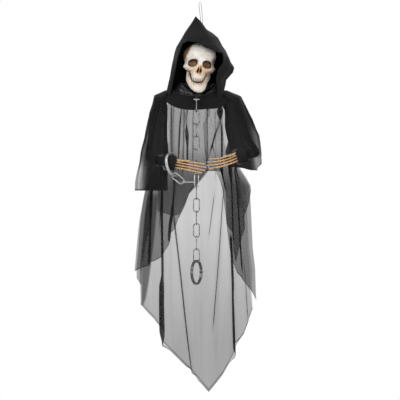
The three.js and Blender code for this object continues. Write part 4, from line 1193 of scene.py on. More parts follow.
@dataclass
class Hood:
    """A pointed hood whose sides end at the face opening.

    Its rings are rows of a share of its length, then the half sizes to the left, right, front and back, in shares
    of its half width. The edges are x against z in mm.
    """

    drape: Drape
    tip: float = -62
    length: float = 330
    foot_drop: float = 24
    half_width: float = 124
    foot_share: float = 0.45
    lift: float = 4.0
    ease_share: float = 0.82
    seam: tuple[float, float] = (-44, -164)
    rings: Table = (
        (0, 0.128, -0.118, 0.006, 0.006), (0.02, 0.16, -0.07, 0.04, 0.07), (0.06, 0.22, 0.04, 0.11, 0.2),
        (0.16, 0.4, 0.24, 0.38, 0.45), (0.255, 0.57, 0.57, 0.68, 0.66), (0.364, 0.74, 0.73, 0.94, 0.82),
        (0.49, 0.81, 0.94, 1, 0.92), (0.624, 0.88, 1.1, 0.94, 0.94), (0.68, 0.92, 1.06, 0.9, 0.92),
        (0.77, 0.96, 0.84, 0.8, 0.86), (0.9, 1.05, 0.8, 0.7, 0.74))
    left_edge: Table = ((-441, -123), (-364, -112), (-320, -105), (-280, -98), (-224, -86), (-172, -66), (-164, -44))
    right_edge: Table = ((-441, 86), (-400, 84), (-380, 76), (-316, 66), (-280, 72), (-250, 94), (-222, 95),
                         (-212, 92), (-206, 64), (-192, 26), (-172, -8), (-164, -44))
    least_width: float = 46
    folds: int = 7
    fold_depth: float = 3.0
    dent_depth: float = 2.5
    dent_size: Point = (90, 90, 110)
    columns: int = 150
    rows: int = 120
    wall: float = 1.4
    seam_gap: float = 0.4
    finish: KnitCloth = KnitCloth("HoodKnit", (0.0055, 0.0058, 0.0062))

    def points(self) -> np.ndarray:
        """Works out the hood.

        Each row is an oval round the head at one height. Its columns run from the right edge of the face
        opening round the back to the left edge. Above the brim both edges meet in a seam. Folds run down it,
        and a slow noise makes the cloth uneven.

        Returns:
            A grid of points in mm.
        """
        down, across = column(self.rows), np.linspace(0, 1, self.columns)[None]
        foot_z = self.drape.yoke_point(np.array(np.pi), self.foot_share)[2]
        z = self.tip + (foot_z - self.foot_drop - self.tip) * down
        share = (self.tip - z) / self.length
        left, right, front, back = (part * self.half_width for part in read_columns(self.rings, share))
        meet = np.arcsin(np.clip(self.seam[0] / np.maximum(left, self.least_width), -1, 1))
        start, end = (
            np.where(z > self.seam[1], meet, np.arcsin(np.clip(edge / np.where(edge < 0, left, right), -0.98, 0.98)))
            for edge in (read_table(self.right_edge, z), read_table(self.left_edge, z)))
        angle = start + (end + FULL - start) * across
        sine, cosine = np.sin(angle), np.cos(angle)
        fold = self.fold_depth * np.sin(angle * self.folds + 3 * np.sin(share * 6)) * smooth(share, 0.1, 0.5)
        fold = fold * (1 - smooth(share, 0.75, 1)) * np.clip(np.sin(across * np.pi) * 2, 0, 1)
        x, y = np.where(sine < 0, left, right) * sine, -np.where(cosine > 0, front, back) * cosine
        oval = (right - left) / 2 + (left + right) / 2 * sine
        x = oval + (x - oval) * smooth(share, 0.03, 0.12)
        slow = self.dent_depth * soft_noise(stack(x, y, z) / self.dent_size, 21, 12, 0.9)
        slow = slow * smooth(share, 0.03, 0.2) * (1 - smooth(share, 0.8, 1))
        grown = 1 + (fold + slow) / np.maximum(np.hypot(x, y), 1)
        free = stack(x * grown, y * grown, z)
        foot = self.drape.yoke_point(angle, self.foot_share, self.lift)
        foot[..., 2] = z
        ease = smooth(down, self.ease_share, 1)[..., None]
        return free * (1 - ease) + foot * ease

    def build(self) -> None:
        piece = Skin().grid(self.points()).mesh("hood_sheet")
        with reshaping(piece) as work:
            bmesh.ops.remove_doubles(work, verts=work.verts, dist=self.seam_gap * MM)
        thicken(piece, self.wall)
        dress(piece, self.finish.build(), Slot.BLACK_CLOTH, "figure", "hood")


@dataclass
class Collar:
    """The opaque yoke and the satin scarf gathered inside it."""

    drape: Drape
    scarf_top: float = -326
    scarf_dip: float = 52
    foot_share: float = 0.3
    foot_lift: float = -5.5
    narrow: float = 0.86
    columns: int = 220
    yoke_rows: int = 30
    scarf_rows: int = 46
    yoke_wall: float = 1.4
    scarf_wall: float = 1.0
    yoke_out: float = 0.8
    waves: int = 14
    wave_depth: float = 1.1
    hem_wave: float = 2.2
    low_hems: Table = ((17, 0.95, 0.42), (6, -0.95, 0.4))
    gathers: int = 5
    crest: float = 5.5
    creases: int = 13
    crease: float = 1.6

    def build(self) -> None:
        """Builds both pieces."""
        self.yoke()
        self.scarf()

    def yoke(self) -> None:
        """The yoke: its oval widens to the hem, with waves that grow towards it and a lower hem at the robe's edges."""
        down, angle = column(self.yoke_rows), circle(self.columns, -np.pi)
        wave = self.wave_depth * down**2 * np.sin(angle * self.waves + 2 * np.sin(angle * 3))
        points = self.drape.yoke_point(angle, down, self.yoke_out + wave)
        lower = sum(drop * bump(angle, middle, wide) for drop, middle, wide in self.low_hems)
        points[..., 2] += down * (self.hem_wave * np.sin(angle * 5 + 1) - lower)
        piece = Skin().grid(points, around=True).mesh("yoke_sheet")
        thicken(piece, self.yoke_wall)
        dress(piece, KnitCloth("YokeKnit", (0.0045, 0.0047, 0.005)).build(), Slot.BLACK_CLOTH, "figure", "yoke")

    def scarf(self) -> None:
        """The scarf: a ring whose gathers slant across it as sine waves with sharp crests."""
        down, angle = column(self.scarf_rows), circle(self.columns, -np.pi)
        foot = self.drape.yoke_point(angle, 0.0, self.foot_lift)
        low = self.drape.yoke_point(angle, self.foot_share)[..., 2]
        top = self.scarf_top - self.drape.front(angle) * self.scarf_dip
        narrow = self.narrow + (1 - self.narrow) * down
        wave = np.sin(angle * self.gathers + down * 7 + 0.8 * np.sin(angle * 2))
        crest = (1 - np.abs(wave)) * self.crest + self.crease * np.sin(angle * self.creases - down * 9)
        swell = crest * np.sin(down * np.pi) ** 0.7
        middle = self.drape.yoke_middle
        points = stack(middle * down + (foot[..., 0] - middle) * narrow + swell * np.sin(angle),
                       foot[..., 1] * narrow - swell * np.cos(angle), top + (low - top) * down)
        piece = Skin().grid(points, around=True).mesh("scarf_sheet")
        thicken(piece, self.scarf_wall)
        dress(piece, Satin("ScarfSatin").build(), Slot.SATIN, "figure", "neck_scarf")


# Chain and shackles

ASIDE, AHEAD, UP = (1, 0, 0), (0, 1, 0), (0, 0, 1)


@dataclass(frozen=True)
class Link:
    """A closed link of round wire: its middle, its long way and its wide way."""

    name: str
    body: str
    middle: Point
    long_way: Point
    wide_way: Point
    length: float = 59.5
    width: float = 28.0
    wire: float = 4.6
    slack: float = 0.05
    steps: int = 64
    sides: int = 14

    def path(self) -> np.ndarray:
        """The wire's middle line: two straights and two half circles, at even steps.

        Returns:
            Points in mm.
        """
        radius, half = (self.width - self.wire) / 2, (self.length - self.width) / 2
        bend, side = np.pi * radius, np.full(self.steps, radius)
        run = np.linspace(0, 4 * half + 2 * bend, self.steps, endpoint=False)
        parts = [run < 2 * half, run < 2 * half + bend, run < 4 * half + bend]
        turn = np.where(parts[1], run - 2 * half, run - 4 * half - bend) / radius
        sine, cosine = radius * np.sin(turn), radius * np.cos(turn)
        along = np.select(parts, [run - half, half + sine, 3 * half + bend - run], -half - sine)
        across = np.select(parts, [-side, -cosine, side], cosine)
        return np.asarray(self.middle) + np.stack([along, across], -1) @ unit([self.long_way, self.wide_way])

    def build(self, material: Material, seed: int) -> None:
        """Builds and dresses the link: the wire swells and thins by a hair, as moulded links do.

        Args:
            material: its finish.
            seed: the seed of the swelling.
        """
        draw = np.random.default_rng(seed)
        turn = circle(self.steps)[0]
        swell = 0.02 * np.sin(turn * 3 + draw.uniform(0, 6)) + 0.015 * np.sin(turn * 7 + draw.uniform(0, 6))
        radius = self.wire / 2 * (1 + swell) - self.slack
        wire = tube(self.path(), radius, self.sides, True, side_way=np.cross(self.long_way, self.wide_way))
        piece = Skin().grid(wire, around=True).solid(f"{self.name}_wire")
        dress(piece, material, Slot.CHAIN, self.body, self.name)


@dataclass
class Chain:
    """All the links, each on its own body where it moves alone."""

    x: float = -12
    y: float = -130
    collar: float = -398
    collar_out: float = 27.45
    first: float = -420.55
    middle: float = -717.15
    slip: float = 0.9
    pitch: float = 50.0
    count: int = 6
    middle_turn: float = 48.0
    wrist: Sequence[tuple[Point, Point, Point]] = (
        ((-85.398, -150.554, -710.551), (0.7822, 0.1415, -0.6068), (0.597, 0.108, 0.795)),
        ((-42.018, -142.708, -725.296), (0.984, 0.1779, 0.0063), (-0.178, 0.984, 0.0)))
    seed: int = 40
    finish: PlatedPlastic = PlatedPlastic("ChainPlate")
    # A brighter copy of the same plating: painted highlight on the links at the collar, the middle and the wrist.
    bright: PlatedPlastic = PlatedPlastic("BrightPlate", (0.9, 0.9, 0.9), (0.4, 0.4, 0.41), roughness=0.18)

    def run(self, name: str, first: float) -> list[Link]:
        """The hanging links of one run, turned by a quarter from one to the next, each on its own body.

        Args:
            name: the run's name.
            first: the height of its first link in mm.

        Returns:
            The links from the top down.
        """
        names = [f"{name}_{i + 1}" for i in range(self.count)]
        return [Link(each, each, (self.x, self.y, first - i * self.pitch), UP, (AHEAD, ASIDE)[i % 2])
                for i, each in enumerate(names)]

    def build(self) -> None:
        """Builds the links from the collar down, then the two to the wrist. Fixed links and these take the brighter
        copy of the plating, a painted highlight.
        """
        turn = np.radians(self.middle_turn)
        links = [Link("collar_link", "figure", (self.x, self.y + self.collar_out, self.collar), AHEAD, ASIDE),
                 *self.run("upper_link", self.first),
                 Link("middle_link", "figure", (self.x, self.y, self.middle), UP, (np.cos(turn), np.sin(turn), 0)),
                 *self.run("drop_link", self.middle - self.pitch + self.slip),
                 *(Link(f"wrist_link_{i + 1}", "wrist_chain", *place) for i, place in enumerate(self.wrist))]
        dull, bright = self.finish.build(), self.bright.build()
        for number, link in enumerate(links):
            link.build(bright if link.body in ("figure", "wrist_chain") else dull, self.seed + number)


@dataclass
class Shackle:
    """Two half rings of bevelled band with a pinned knuckle: ways gives its X, Y and Z in the figure's frame."""

    name: str
    frame_body: str
    gate_body: str
    middle: Point
    ways: Table
    finish: PlatedPlastic
    radius: float = 46.0
    band: float = 7.0
    width: float = 11.0
    gap: float = 0.3
    knuckle: float = 6.0
    knuckle_turn: float = 0.17
    rim: float = 0.5
    axis: float = 0.01
    squareness: float = 0.45
    half_steps: tuple[int, int] = (56, 28)
    plate_steps: int = 32
    rivet_steps: int = 20
    rivet: Table = ((0.01, 6.3), (1.9, 6.2), (2.6, 5.7), (2.6, 5.2), (1.4, 5.1))

    def place(self, points: np.ndarray) -> np.ndarray:
        """Turns local points to the shackle's ways and moves them to its middle."""
        return points @ np.asarray(self.ways) + np.asarray(self.middle)

    def half(self, start: float, end: float) -> np.ndarray:
        """Half a ring: a squarish oblong section, with cosine and sine to a small power, carried round.

        Args:
            start: the first angle in radians.
            end: the last angle.

        Returns:
            A grid of rings by sides, in mm.
        """
        turn, angle = column(self.half_steps[0], start, end), circle(self.half_steps[1])
        reach = self.radius + power(np.cos(angle), self.squareness) * self.band / 2
        side = power(np.sin(angle), self.squareness) * self.width / 2
        return self.place(stack(reach * np.cos(turn), side, reach * np.sin(turn)))

    def plate(self, low: float, high: float) -> np.ndarray:
        """A knuckle plate: a short turned drum with bevelled rims between two places along the pin.

        Args:
            low: its first place along the pin in mm.
            high: its last place.

        Returns:
            A grid of profile places by angles, in mm.
        """
        wide, rim = self.knuckle, self.rim
        profile = ((self.axis, low), (wide - rim, low), (wide, low + rim), (wide, high - rim), (wide - rim, high),
                   (self.axis, high))
        return self.place(turned(np.array(profile), self.plate_steps, self.radius))

    def build(self, steel: Material) -> None:
        """Builds and dresses the frame with two plates, the gate with one between them, and the rivet.

        Args:
            steel: the rivet's finish.
        """
        split, third, free = self.gap / self.radius, self.width / 6, self.gap / 2
        parts = (("frame", self.frame_body, (self.knuckle_turn, np.pi - split),
                  ((-3 * third, -third - free), (third + free, 3 * third))),
                 ("gate", self.gate_body, (np.pi + split, FULL - self.knuckle_turn), ((-third + free, third - free),)))
        material = self.finish.build()
        for part, body, ends, plates in parts:
            skin = Skin().grid(self.half(*ends), around=True, caps=True)
            for plate in plates:
                skin.grid(self.plate(*plate), around=True, caps=True)
            dress(skin.solid(f"{self.name}_{part}_band"), material, Slot.CHAIN, body, f"{self.name}_{part}")
        head = np.array(self.rivet)
        profile = np.concatenate([head * (1, -1), head[::-1]])
        rivet = Skin().grid(self.place(turned(profile, self.rivet_steps, self.radius)), around=True, caps=True)
        dress(rivet.solid(f"{self.name}_rivet"), steel, Slot.STEEL, self.frame_body, f"{self.name}_pin")


# Hands, cuffs and arms


@dataclass
class Hand:
    """One hand with its cuff and arm: wrist and aim place it; the fingers lie along the aim.

    bends holds places of the arm as shares of its reach from the shoulder. elbow and arm_places are places in
    cuff lengths behind the wrist. fingers holds the fingers' lengths as shares of the longest. Each row of wraps
    is the height, step and phase of a ridge of the wrap.
    """

    side: Side
    wrist: Point
    aim: Point
    shoulder: Point
    bends: Table
    elbow: float
    fingers: Sequence[float]
    cuff_radius: float
    droop: float = 0.0
    arm_reach: float = 300
    arm_radius: float = 12.2
    elbow_swell: float = 6.0
    palm_length: float = 52
    finger_length: float = 74
    finger_radius: float = 6.0
    finger_spread: float = 10.4
    thumb_root: Point = (4.8, -4, 12)
    thumb_tip: Point = (53.3, -9, 20)
    palm_middle: Point = (21.84, 2.6, 0)
    palm_radii: Point = (29.12, 2.4, 20)
    palm_start: float = -6.0
    palm_spread: float = 10.816
    palm_bone_radius: float = 6.3
    knuckle_place: float = 48.88
    thumb_radius: float = 6.6
    fan: float = 0.03
    waist: float = 0.6
    knuckle_power: int = 5
    narrowing: float = 0.25
    end_slope: float = 26
    seam_width: float = 0.012
    seam_depth: float = 0.2
    bone_flatness: float = 0.9
    bone_steps: tuple[int, int] = (14, 8)
    cuff_length: float = 46
    cuff_wall: float = 1.2
    cuff_slack: float = 0.3
    gathers: int = 15
    gather_share: float = 0.03
    arm_places: tuple[float, float] = (1.3, 0.7)
    wraps: Table = ((0.5, 4.0, 0), (0.3, 9.0, 1))
    sides: int = 12
    cuff_profile: Table = ((-0.96, 0.47), (-0.99, 0.7), (-0.9, 0.9), (-0.7, 0.97), (-0.45, 1.0), (-0.2, 0.97),
                           (-0.04, 0.86), (0.0, 0.72), (-0.02, 0.47))

    def place(self, points: np.ndarray, along: float = 0.0) -> np.ndarray:
        """Local points in the figure's frame: X along the aim, Y to the back and Z up, so that the hands mirror.

        Args:
            points: local points in mm.
            along: how far along the aim they start, in mm.

        Returns:
            Points in mm.
        """
        aim = unit(self.aim)
        up = unit(np.array([0, 0, 1]) - aim[2] * aim)
        ways = np.stack([aim, np.cross(aim, up) * self.side.value, up])
        return points @ ways + np.asarray(self.wrist) + aim * along

    def bone(self, start: Sequence[float], end: Sequence[float], base: float, bow: float,
             joints: int) -> tuple[np.ndarray, np.ndarray]:
        """Bones end to end: waisted shafts with knuckles where they meet.

        The radius is base times the waist's share, plus the rest times |cos(pi joints t)| to the knuckle's power,
        and it narrows to the tip. The line bows by bow times sin(pi t) to the front, and droops in its middle.

        Args:
            start: where the first bone begins, local mm.
            end: where the last bone ends.
            base: the knuckle's radius.
            bow: how far the line bows.
            joints: how many bones.

        Returns:
            A grid of rings by sides, and how deep each ring lies between knuckles.
        """
        share = np.linspace(0, 1, self.bone_steps[0] * joints + self.bone_steps[1])
        line = np.asarray(start) + (np.asarray(end) - np.asarray(start)) * share[:, None]
        line[:, 1] -= bow * np.sin(np.pi * share)
        line[:, 2] -= self.droop * np.sin(np.pi * np.clip(line[:, 0] / (self.palm_length + self.finger_length), 0, 1))
        wave = np.abs(np.cos(np.pi * joints * share))
        radius = base * (self.waist + (1 - self.waist) * wave ** self.knuckle_power) * (1 - self.narrowing * share)
        radius = radius * np.sqrt(np.clip(np.minimum(share, 1 - share) * self.end_slope, 0.05, 1))
        gap = bump(wave, 1, self.seam_width) * (np.abs(share - 0.5) < 0.45)
        return tube(line, radius * (1 - self.seam_depth * gap), self.sides, flat=self.bone_flatness), gap[:, None]

    def hand(self, material: Material) -> None:
        """Four fingers of three bones with their palm bones, a thumb and the dark palm, as one moulded piece.

        The palm is an ellipsoid: its middle plus its radii times the direction of each latitude and longitude.

        Args:
            material: its finish.
        """
        skin = Skin()
        # Painted shade: the upper and lower flanks of each finger and palm bone go dark, where they lie against each
        # other.
        sides = 0.85 * smooth(np.abs(np.sin(circle(self.sides))), 0.75, 0.98)

        def put(grid: np.ndarray, wash: np.ndarray | float, deep: np.ndarray | float) -> None:
            """Adds a local grid to the hand with its stain and its painted shade."""
            skin.grid(self.place(grid), around=True, caps=True, wash=wash, depth=deep)

        for k, share in zip(1.5 - np.arange(4), self.fingers):
            base = (self.knuckle_place, 0, k * self.finger_spread)
            reach = self.finger_length * share
            tip = (base[0] + reach * np.cos(k * self.fan), 2.0 + abs(k), base[2] + reach * np.sin(k * self.fan))
            grid, gap = self.bone(base, tip, self.finger_radius, 5.0, 3)
            put(grid, 0.2 + 0.5 * gap, np.maximum(0.75 * gap, sides))
            root = (self.palm_start, 0, k * self.palm_spread)
            grid, gap = self.bone(root, base, self.palm_bone_radius, 2.0, 2)
            put(grid, 0.25 + 0.5 * gap, np.maximum(0.7 * gap, sides))
        grid, gap = self.bone(self.thumb_root, self.thumb_tip, self.thumb_radius, 3.0, 3)
        put(grid, 0.25 + 0.5 * gap, 0.7 * gap)
        down, turn = column(10, 0.04, 0.96) * np.pi, circle(20)
        way = stack(np.sin(down) * np.cos(turn), np.sin(down) * np.sin(turn), np.cos(down))
        put(np.asarray(self.palm_middle) + way * self.palm_radii, 0.9, 0.85)
        piece = skin.solid(f"hand_{self.side.word}_bones")
        dress(piece, material, Slot.HAND_BONE, "figure", f"hand_{self.side.word}")

    def cuff(self, material: Material) -> None:
        """A gathered cuff: a padded ring whose radius follows a swell, with gathers round it.

        Args:
            material: its finish.
        """
        fine = column(44)
        along, reach = read_columns([(k / 8, *row) for k, row in enumerate(self.cuff_profile)], fine)
        angle = circle(96)
        gather = self.gather_share * np.sin(angle * self.gathers + 2 * np.sin(angle * 2)) * np.sin(np.pi * fine)
        radius = (self.cuff_radius - self.cuff_wall) * (reach + gather)
        points = stack(along * self.cuff_length, radius * np.cos(angle), radius * np.sin(angle))
        piece = Skin().grid(self.place(points, -self.cuff_slack), around=True).solid(f"cuff_{self.side.word}_pad")
        dress(piece, material, Slot.BLACK_CLOTH, "figure", f"cuff_{self.side.word}")

    def arm(self, material: Material) -> None:
        """The wrapped arm: a tube along a smooth line through its bends, with the ridges of its wrap.

        Args:
            material: its finish.
        """
        bends = np.asarray(self.bends) * self.arm_reach + np.asarray(self.shoulder)
        backs = np.array([self.elbow, *self.arm_places, self.cuff_slack / self.cuff_length]) * self.cuff_length
        line = spline(np.concatenate([bends, np.asarray(self.wrist) - unit(self.aim) * backs[:, None]]), 90)
        run = lengths(line)
        radius = self.arm_radius + sum(high * np.sin(run / step + phase) for high, step, phase in self.wraps)
        radius = radius + self.elbow_swell * smooth(run / run[-1], 0.62, 0.9)
        piece = Skin().grid(tube(line, radius, 24), around=True, caps=True).solid(f"arm_{self.side.word}_wrap")
        dress(piece, material, Slot.BLACK_CLOTH, "figure", f"arm_{self.side.word}")

    def build(self, bone: Material, cloth: Material) -> None:
        """Builds the hand, the cuff and the arm.

        Args:
            bone: the hand's finish.
            cloth: the finish of the cuff and the arm.
        """
        self.hand(bone)
        self.cuff(cloth)
        self.arm(cloth)


# Skull


@dataclass(frozen=True)
class Bell:
    """A bell on both sides of the face: its middle and half sizes in mm, and its strength."""

    x: float
    wide: float
    z: float
    tall: float
    strength: float = 1.0

    def on(self, x: np.ndarray, z: np.ndarray) -> np.ndarray:
        """Its strength at each point."""
        return self.strength * bump(np.abs(x), self.x, self.wide) * bump(z, self.z, self.tall)


@dataclass
class Skull:
    """The moulded skull: cranium with face, and the jaw that hangs from it, in the head's own tilted frame.

    In that frame X runs to the viewer's right, Y to the back and Z up, from the middle of the face. The tables
    of widths, front, core and back are mm against z. Those of the jaw are z against the angle of its arch. The
    temple's bell lies across the sine of the angle, all the others across x in mm.
    """

    origin: Point = (2.0, -8.0, -252.0)
    ways: Table = ((0.9962, 0.0522, -0.0698), (-0.0523, 0.9986, 0.0), (0.0697, 0.0037, 0.9976))
    middle: Table = ((-120, -1), (-105, -3), (-76, -7.5), (-40, -6.5), (-28, -4.3), (0, -3.5), (30, -1), (60, 0))
    left_width: Table = (
        (-79, 4), (-77.5, 15), (-73, 24), (-66, 29), (-56, 32), (-43, 34), (-35, 40), (-29, 52), (-19, 58), (-6, 58),
        (4, 60), (14, 65), (28, 73), (45, 71), (60, 60), (72, 45), (80, 31), (84.5, 19), (86, 6))
    right_width: Table = (
        (-79, 4), (-77.5, 15), (-73, 24), (-66, 29), (-56, 32), (-45, 34), (-38, 40), (-32, 50), (-22, 57), (-8, 57),
        (4, 57), (14, 60), (28, 64), (45, 62), (60, 54), (72, 42), (80, 30), (84.5, 18), (86, 6))
    front: Table = (
        (-79, -60), (-77.5, -76), (-73, -83), (-66, -86), (-52, -86), (-44, -84), (-30, -80), (-16, -79), (0, -82),
        (14, -86), (28, -84), (45, -79), (60, -69), (72, -56), (80, -40), (84.5, -22), (86, -8))
    core: Table = ((-79, -56), (-66, -54), (-45, -46), (-30, -28), (-16, -12), (0, -4), (14, 2), (28, 5), (86, 2))
    back: Table = (
        (-79, -52), (-77.5, -44), (-66, -26), (-45, -6), (-30, 30), (-16, 60), (0, 74), (14, 80), (28, 81), (45, 77),
        (60, 68), (72, 56), (80, 42), (84.5, 24), (86, 8))
    rows: Sequence[tuple[float, float, int]] = ((86, 84.6, 6), (84, -58, 150), (-58.6, -79, 46))
    columns: int = 300
    crowding: float = 0.45
    squareness: float = 0.14
    temple: Bell = Bell(0.97, 0.16, 12, 13, 6)
    cheek_z: float = -18.0
    cheek_tilt: float = 2.0
    cheek_tall: float = 12.0
    cheek_out: float = 7.0
    cheek_ahead: float = 4.0
    brow: float = 5.0
    brow_z: float = 15.5
    brow_tall: float = 6.5
    fossa: float = 5.0
    fossa_x: float = 26.0
    under_depth: float = 7.0
    eye: tuple[float, float] = (28.5, -3.0)
    eye_tilt: float = 1.8
    eye_slant: float = 0.16
    eye_power: float = 2.3
    eye_half: tuple[float, float] = (18.5, 15.0)
    eye_depth: float = 22.0
    eye_ball: float = 7.5
    eye_rim: float = 3.4
    nose_z: float = -29.0
    nose_half: tuple[float, float] = (2.3, 11.5)
    nose_lean: tuple[float, float] = (4.6, 1.4)
    nose_depth: float = 11.0
    tooth_width: float = 7.4
    tooth_round: float = 0.6
    tooth_depths: tuple[float, float] = (2.6, 2.4)
    tooth_sink: float = 1.6
    bite_z: float = -60.0
    bite_arch: float = 6.0
    teeth_half: float = 29.0
    foot_z: float = -79.0
    bridge: Bell = Bell(0, 9, -10, 13, 6.5)
    muzzle: Bell = Bell(0, 24, -52, 13, 3.5)
    under_cheek: Bell = Bell(42, 12, -36, 6)
    stains: tuple[Bell, Bell] = (Bell(0, 34, -30, 19, 0.42), Bell(28, 15, -24, 14, 0.26))
    jaw_half: float = 42.5
    jaw_reach: float = 72.0
    jaw_back: float = -22.0
    jaw_powers: tuple[float, float] = (0.6, 0.72)
    jaw_thick: tuple[float, float] = (5.6, 1.4)
    jaw_end: float = 1.83
    jaw_tooth: float = 6.0
    jaw_top: Table = ((0, -81), (0.35, -78), (0.6, -69), (0.75, -58), (0.87, -44), (1.1, -36), (1.4, -33), (1.66, -30),
                      (1.83, -33))
    jaw_foot: Table = ((0, -119), (0.35, -115.5), (0.7, -104), (0.87, -95), (1.13, -80), (1.4, -70), (1.66, -61),
                       (1.83, -46))

    def place(self, points: np.ndarray) -> np.ndarray:
        """Points of the head's frame in the figure's frame."""
        return points @ np.asarray(self.ways) + np.asarray(self.origin)

    def mottle(self, x: np.ndarray, y: np.ndarray, z: np.ndarray, seed: int) -> np.ndarray:
        """Slow noise for the stain of the paint."""
        return soft_noise(stack(x, y, z) / 26, seed, 14, 1.0)

    def cranium(self) -> Skin:
        """Works out cranium and face.

        Each row is an oval at one height, from tables of its width to either side and its front, widest
        line and back. The columns crowd towards the front. Bells, ridges and hollows then push the front in or
        out: temples, cheekbones, brow, bridge, muzzle, eyes, nose and teeth.

        Returns:
            The skin with its wash and depth for the paint, which also carry painted shade on both temples.
        """
        rise = np.concatenate([column(steps, high, low) for high, low, steps in self.rows])
        turn = np.linspace(-1, 1, self.columns, endpoint=False)[None]
        angle = np.pi * ((1 - self.crowding) * turn + self.crowding * turn ** 3)
        ahead = np.cos(angle)
        width = np.where(np.sin(angle) < 0, read_table(self.left_width, rise), read_table(self.right_width, rise))
        front, core, back = (read_table(t, rise) for t in (self.front, self.core, self.back))
        square = 1 - self.squareness * bump(rise, -4, 34)
        sine = power(np.sin(angle), square)
        x = width * sine
        y = core - np.where(ahead >= 0, core - front, back - core) * power(ahead, np.where(ahead >= 0, square, 1))
        z = rise * np.ones_like(x)
        face = smooth(ahead, 0.0, 0.25)
        x -= np.sign(x) * self.temple.on(sine, z) * face
        cheek = bump(z, self.cheek_z - self.cheek_tilt * np.sign(x), self.cheek_tall) * smooth(np.abs(x), 26, 50)
        cheek = cheek * smooth(-y, -30, 20)
        x += np.sign(x) * self.cheek_out * cheek
        under = self.under_cheek.on(x, z) * face
        brow = self.brow * bump(z, self.brow_z, self.brow_tall) * smooth(np.abs(x), 2, 18)
        brow = brow * (1 - smooth(np.abs(x), 40, 58))
        ahead_of = self.cheek_ahead * cheek + brow + self.bridge.on(x, z) + self.muzzle.on(x, z)
        y -= ahead_of * face - self.under_depth * under
        y += self.fossa * bump(np.abs(x), self.fossa_x, 6) * smooth(-z, 34, 44) * (1 - smooth(-z, 60, 74)) * face
        wash, deep = 0.04 * np.ones_like(x), np.zeros_like(x)
        for way in (-1, 1):
            for push, stain, dark in (self.eye_hollow(x, z, way), self.nostril(x, z, way)):
                y += push * face
                wash += stain * face
                deep = darkest(deep, dark * face)
        wash += sum(stain.on(x, z) for stain in self.stains) * face + 0.36 * cheek * smooth(-z, 20, 30) + 0.3 * under
        tooth = np.abs(np.sin(np.pi * (x / self.tooth_width + 0.5)))
        over = z - self.bite_z + self.bite_arch * bump(x, 0, 22) - 2 * tooth
        row = (np.abs(x) < self.teeth_half) * face
        toothed = smooth(-over, -1.5, 1.5) * row
        y -= (self.tooth_depths[0] * tooth ** self.tooth_round - self.tooth_sink) * toothed
        wash = wash * (1 - 0.75 * toothed * tooth) + 0.5 * toothed * (1 - tooth) ** 2 + 0.6 * bump(over, 0, 1.6) * row
        edge = np.minimum(width - np.abs(x) + 40 * (z > -38), z - self.foot_z)
        # Painted shadow on the left temple inside the hood: it darkens the depth and browns the wash.
        shadow = smooth(-58 + 0.38 * (z - 22) - x, -6, 6) * smooth(z, -8, 6)
        hollow = smooth(-z, 37, 44) * (np.abs(sine) > 0.86) * face
        deep = darkest(deep, 0.9 * toothed * smooth(-tooth, -0.5, -0.15), 0.9 * hollow,
                       0.95 * smooth(-edge, -4.5, -1.0) * (z < -38), 0.66 * shadow)
        # The wash is browned on the right temple too, painted shade under the hood's brim; the mottle is the paint's
        # own.
        wash += 0.9 * shadow + 0.35 * smooth(x, 54, 62) * smooth(z, -4, 10) + 0.14 * self.mottle(x, y, z, 31)
        x += read_table(self.middle, z) * smooth(ahead, -0.4, 0.5)
        return Skin().grid(self.place(stack(x, y, z)), around=True, caps=True, wash=np.clip(wash, 0, 1),
                           depth=np.clip(deep, 0, 1))

    def eye_hollow(self, x: np.ndarray, z: np.ndarray, way: int) -> tuple[np.ndarray, np.ndarray, np.ndarray]:
        """An eye: inside its squarish oval the push is (1 - d^2.4)^0.5, with a low ball in its middle and a rim.

        Args:
            x: the points' x in mm.
            z: their height in mm.
            way: -1 for the left eye, 1 for the right.

        Returns:
            How far it pushes back, its wash and its dark.
        """
        across = (x - way * self.eye[0]) / self.eye_half[0]
        tall = (z - self.eye[1] + way * self.eye_tilt) / self.eye_half[1]
        tilted = tall + self.eye_slant * across * way
        far = np.sqrt(np.abs(across) ** self.eye_power + np.abs(tilted) ** self.eye_power)
        push = self.eye_depth * np.sqrt(np.clip(1 - far ** 2.4, 0, 1)) - self.eye_ball * bump(far, 0, 0.42)
        upper = smooth(tall, -0.5, 0.6)
        dark = 0.92 * bump(far, 0.84, 0.17) * (0.6 + 0.4 * upper)
        dark = dark + (0.34 + 0.4 * smooth(tall, -0.2, 0.6)) * (far < 0.95)
        stain = 0.75 * smooth(-far, -1.03, -0.9) + 0.3 * bump(far, 1.08, 0.12)
        return push - self.eye_rim * bump(far, 1.13, 0.13), stain, dark

    def nostril(self, x: np.ndarray, z: np.ndarray, way: int) -> tuple[np.ndarray, np.ndarray, np.ndarray]:
        """One half of the nose: a drop that leans out and widens as it goes down.

        Args:
            x: the points' x in mm.
            z: their height in mm.
            way: -1 for the left half, 1 for the right.

        Returns:
            How far it pushes back, its wash and its dark.
        """
        leaning = self.nose_lean[0] + self.nose_lean[1] * smooth(-z, 18, 40)
        wide = self.nose_half[0] * (1 + smooth(-z, 18, 36))
        drop = np.hypot((x - way * leaning) / wide, (z - self.nose_z) / self.nose_half[1])
        return self.nose_depth * smooth(-drop, -1.1, -0.55), 0.4 * bump(drop, 1.35, 0.5), smooth(-drop, -1.12, -0.8)

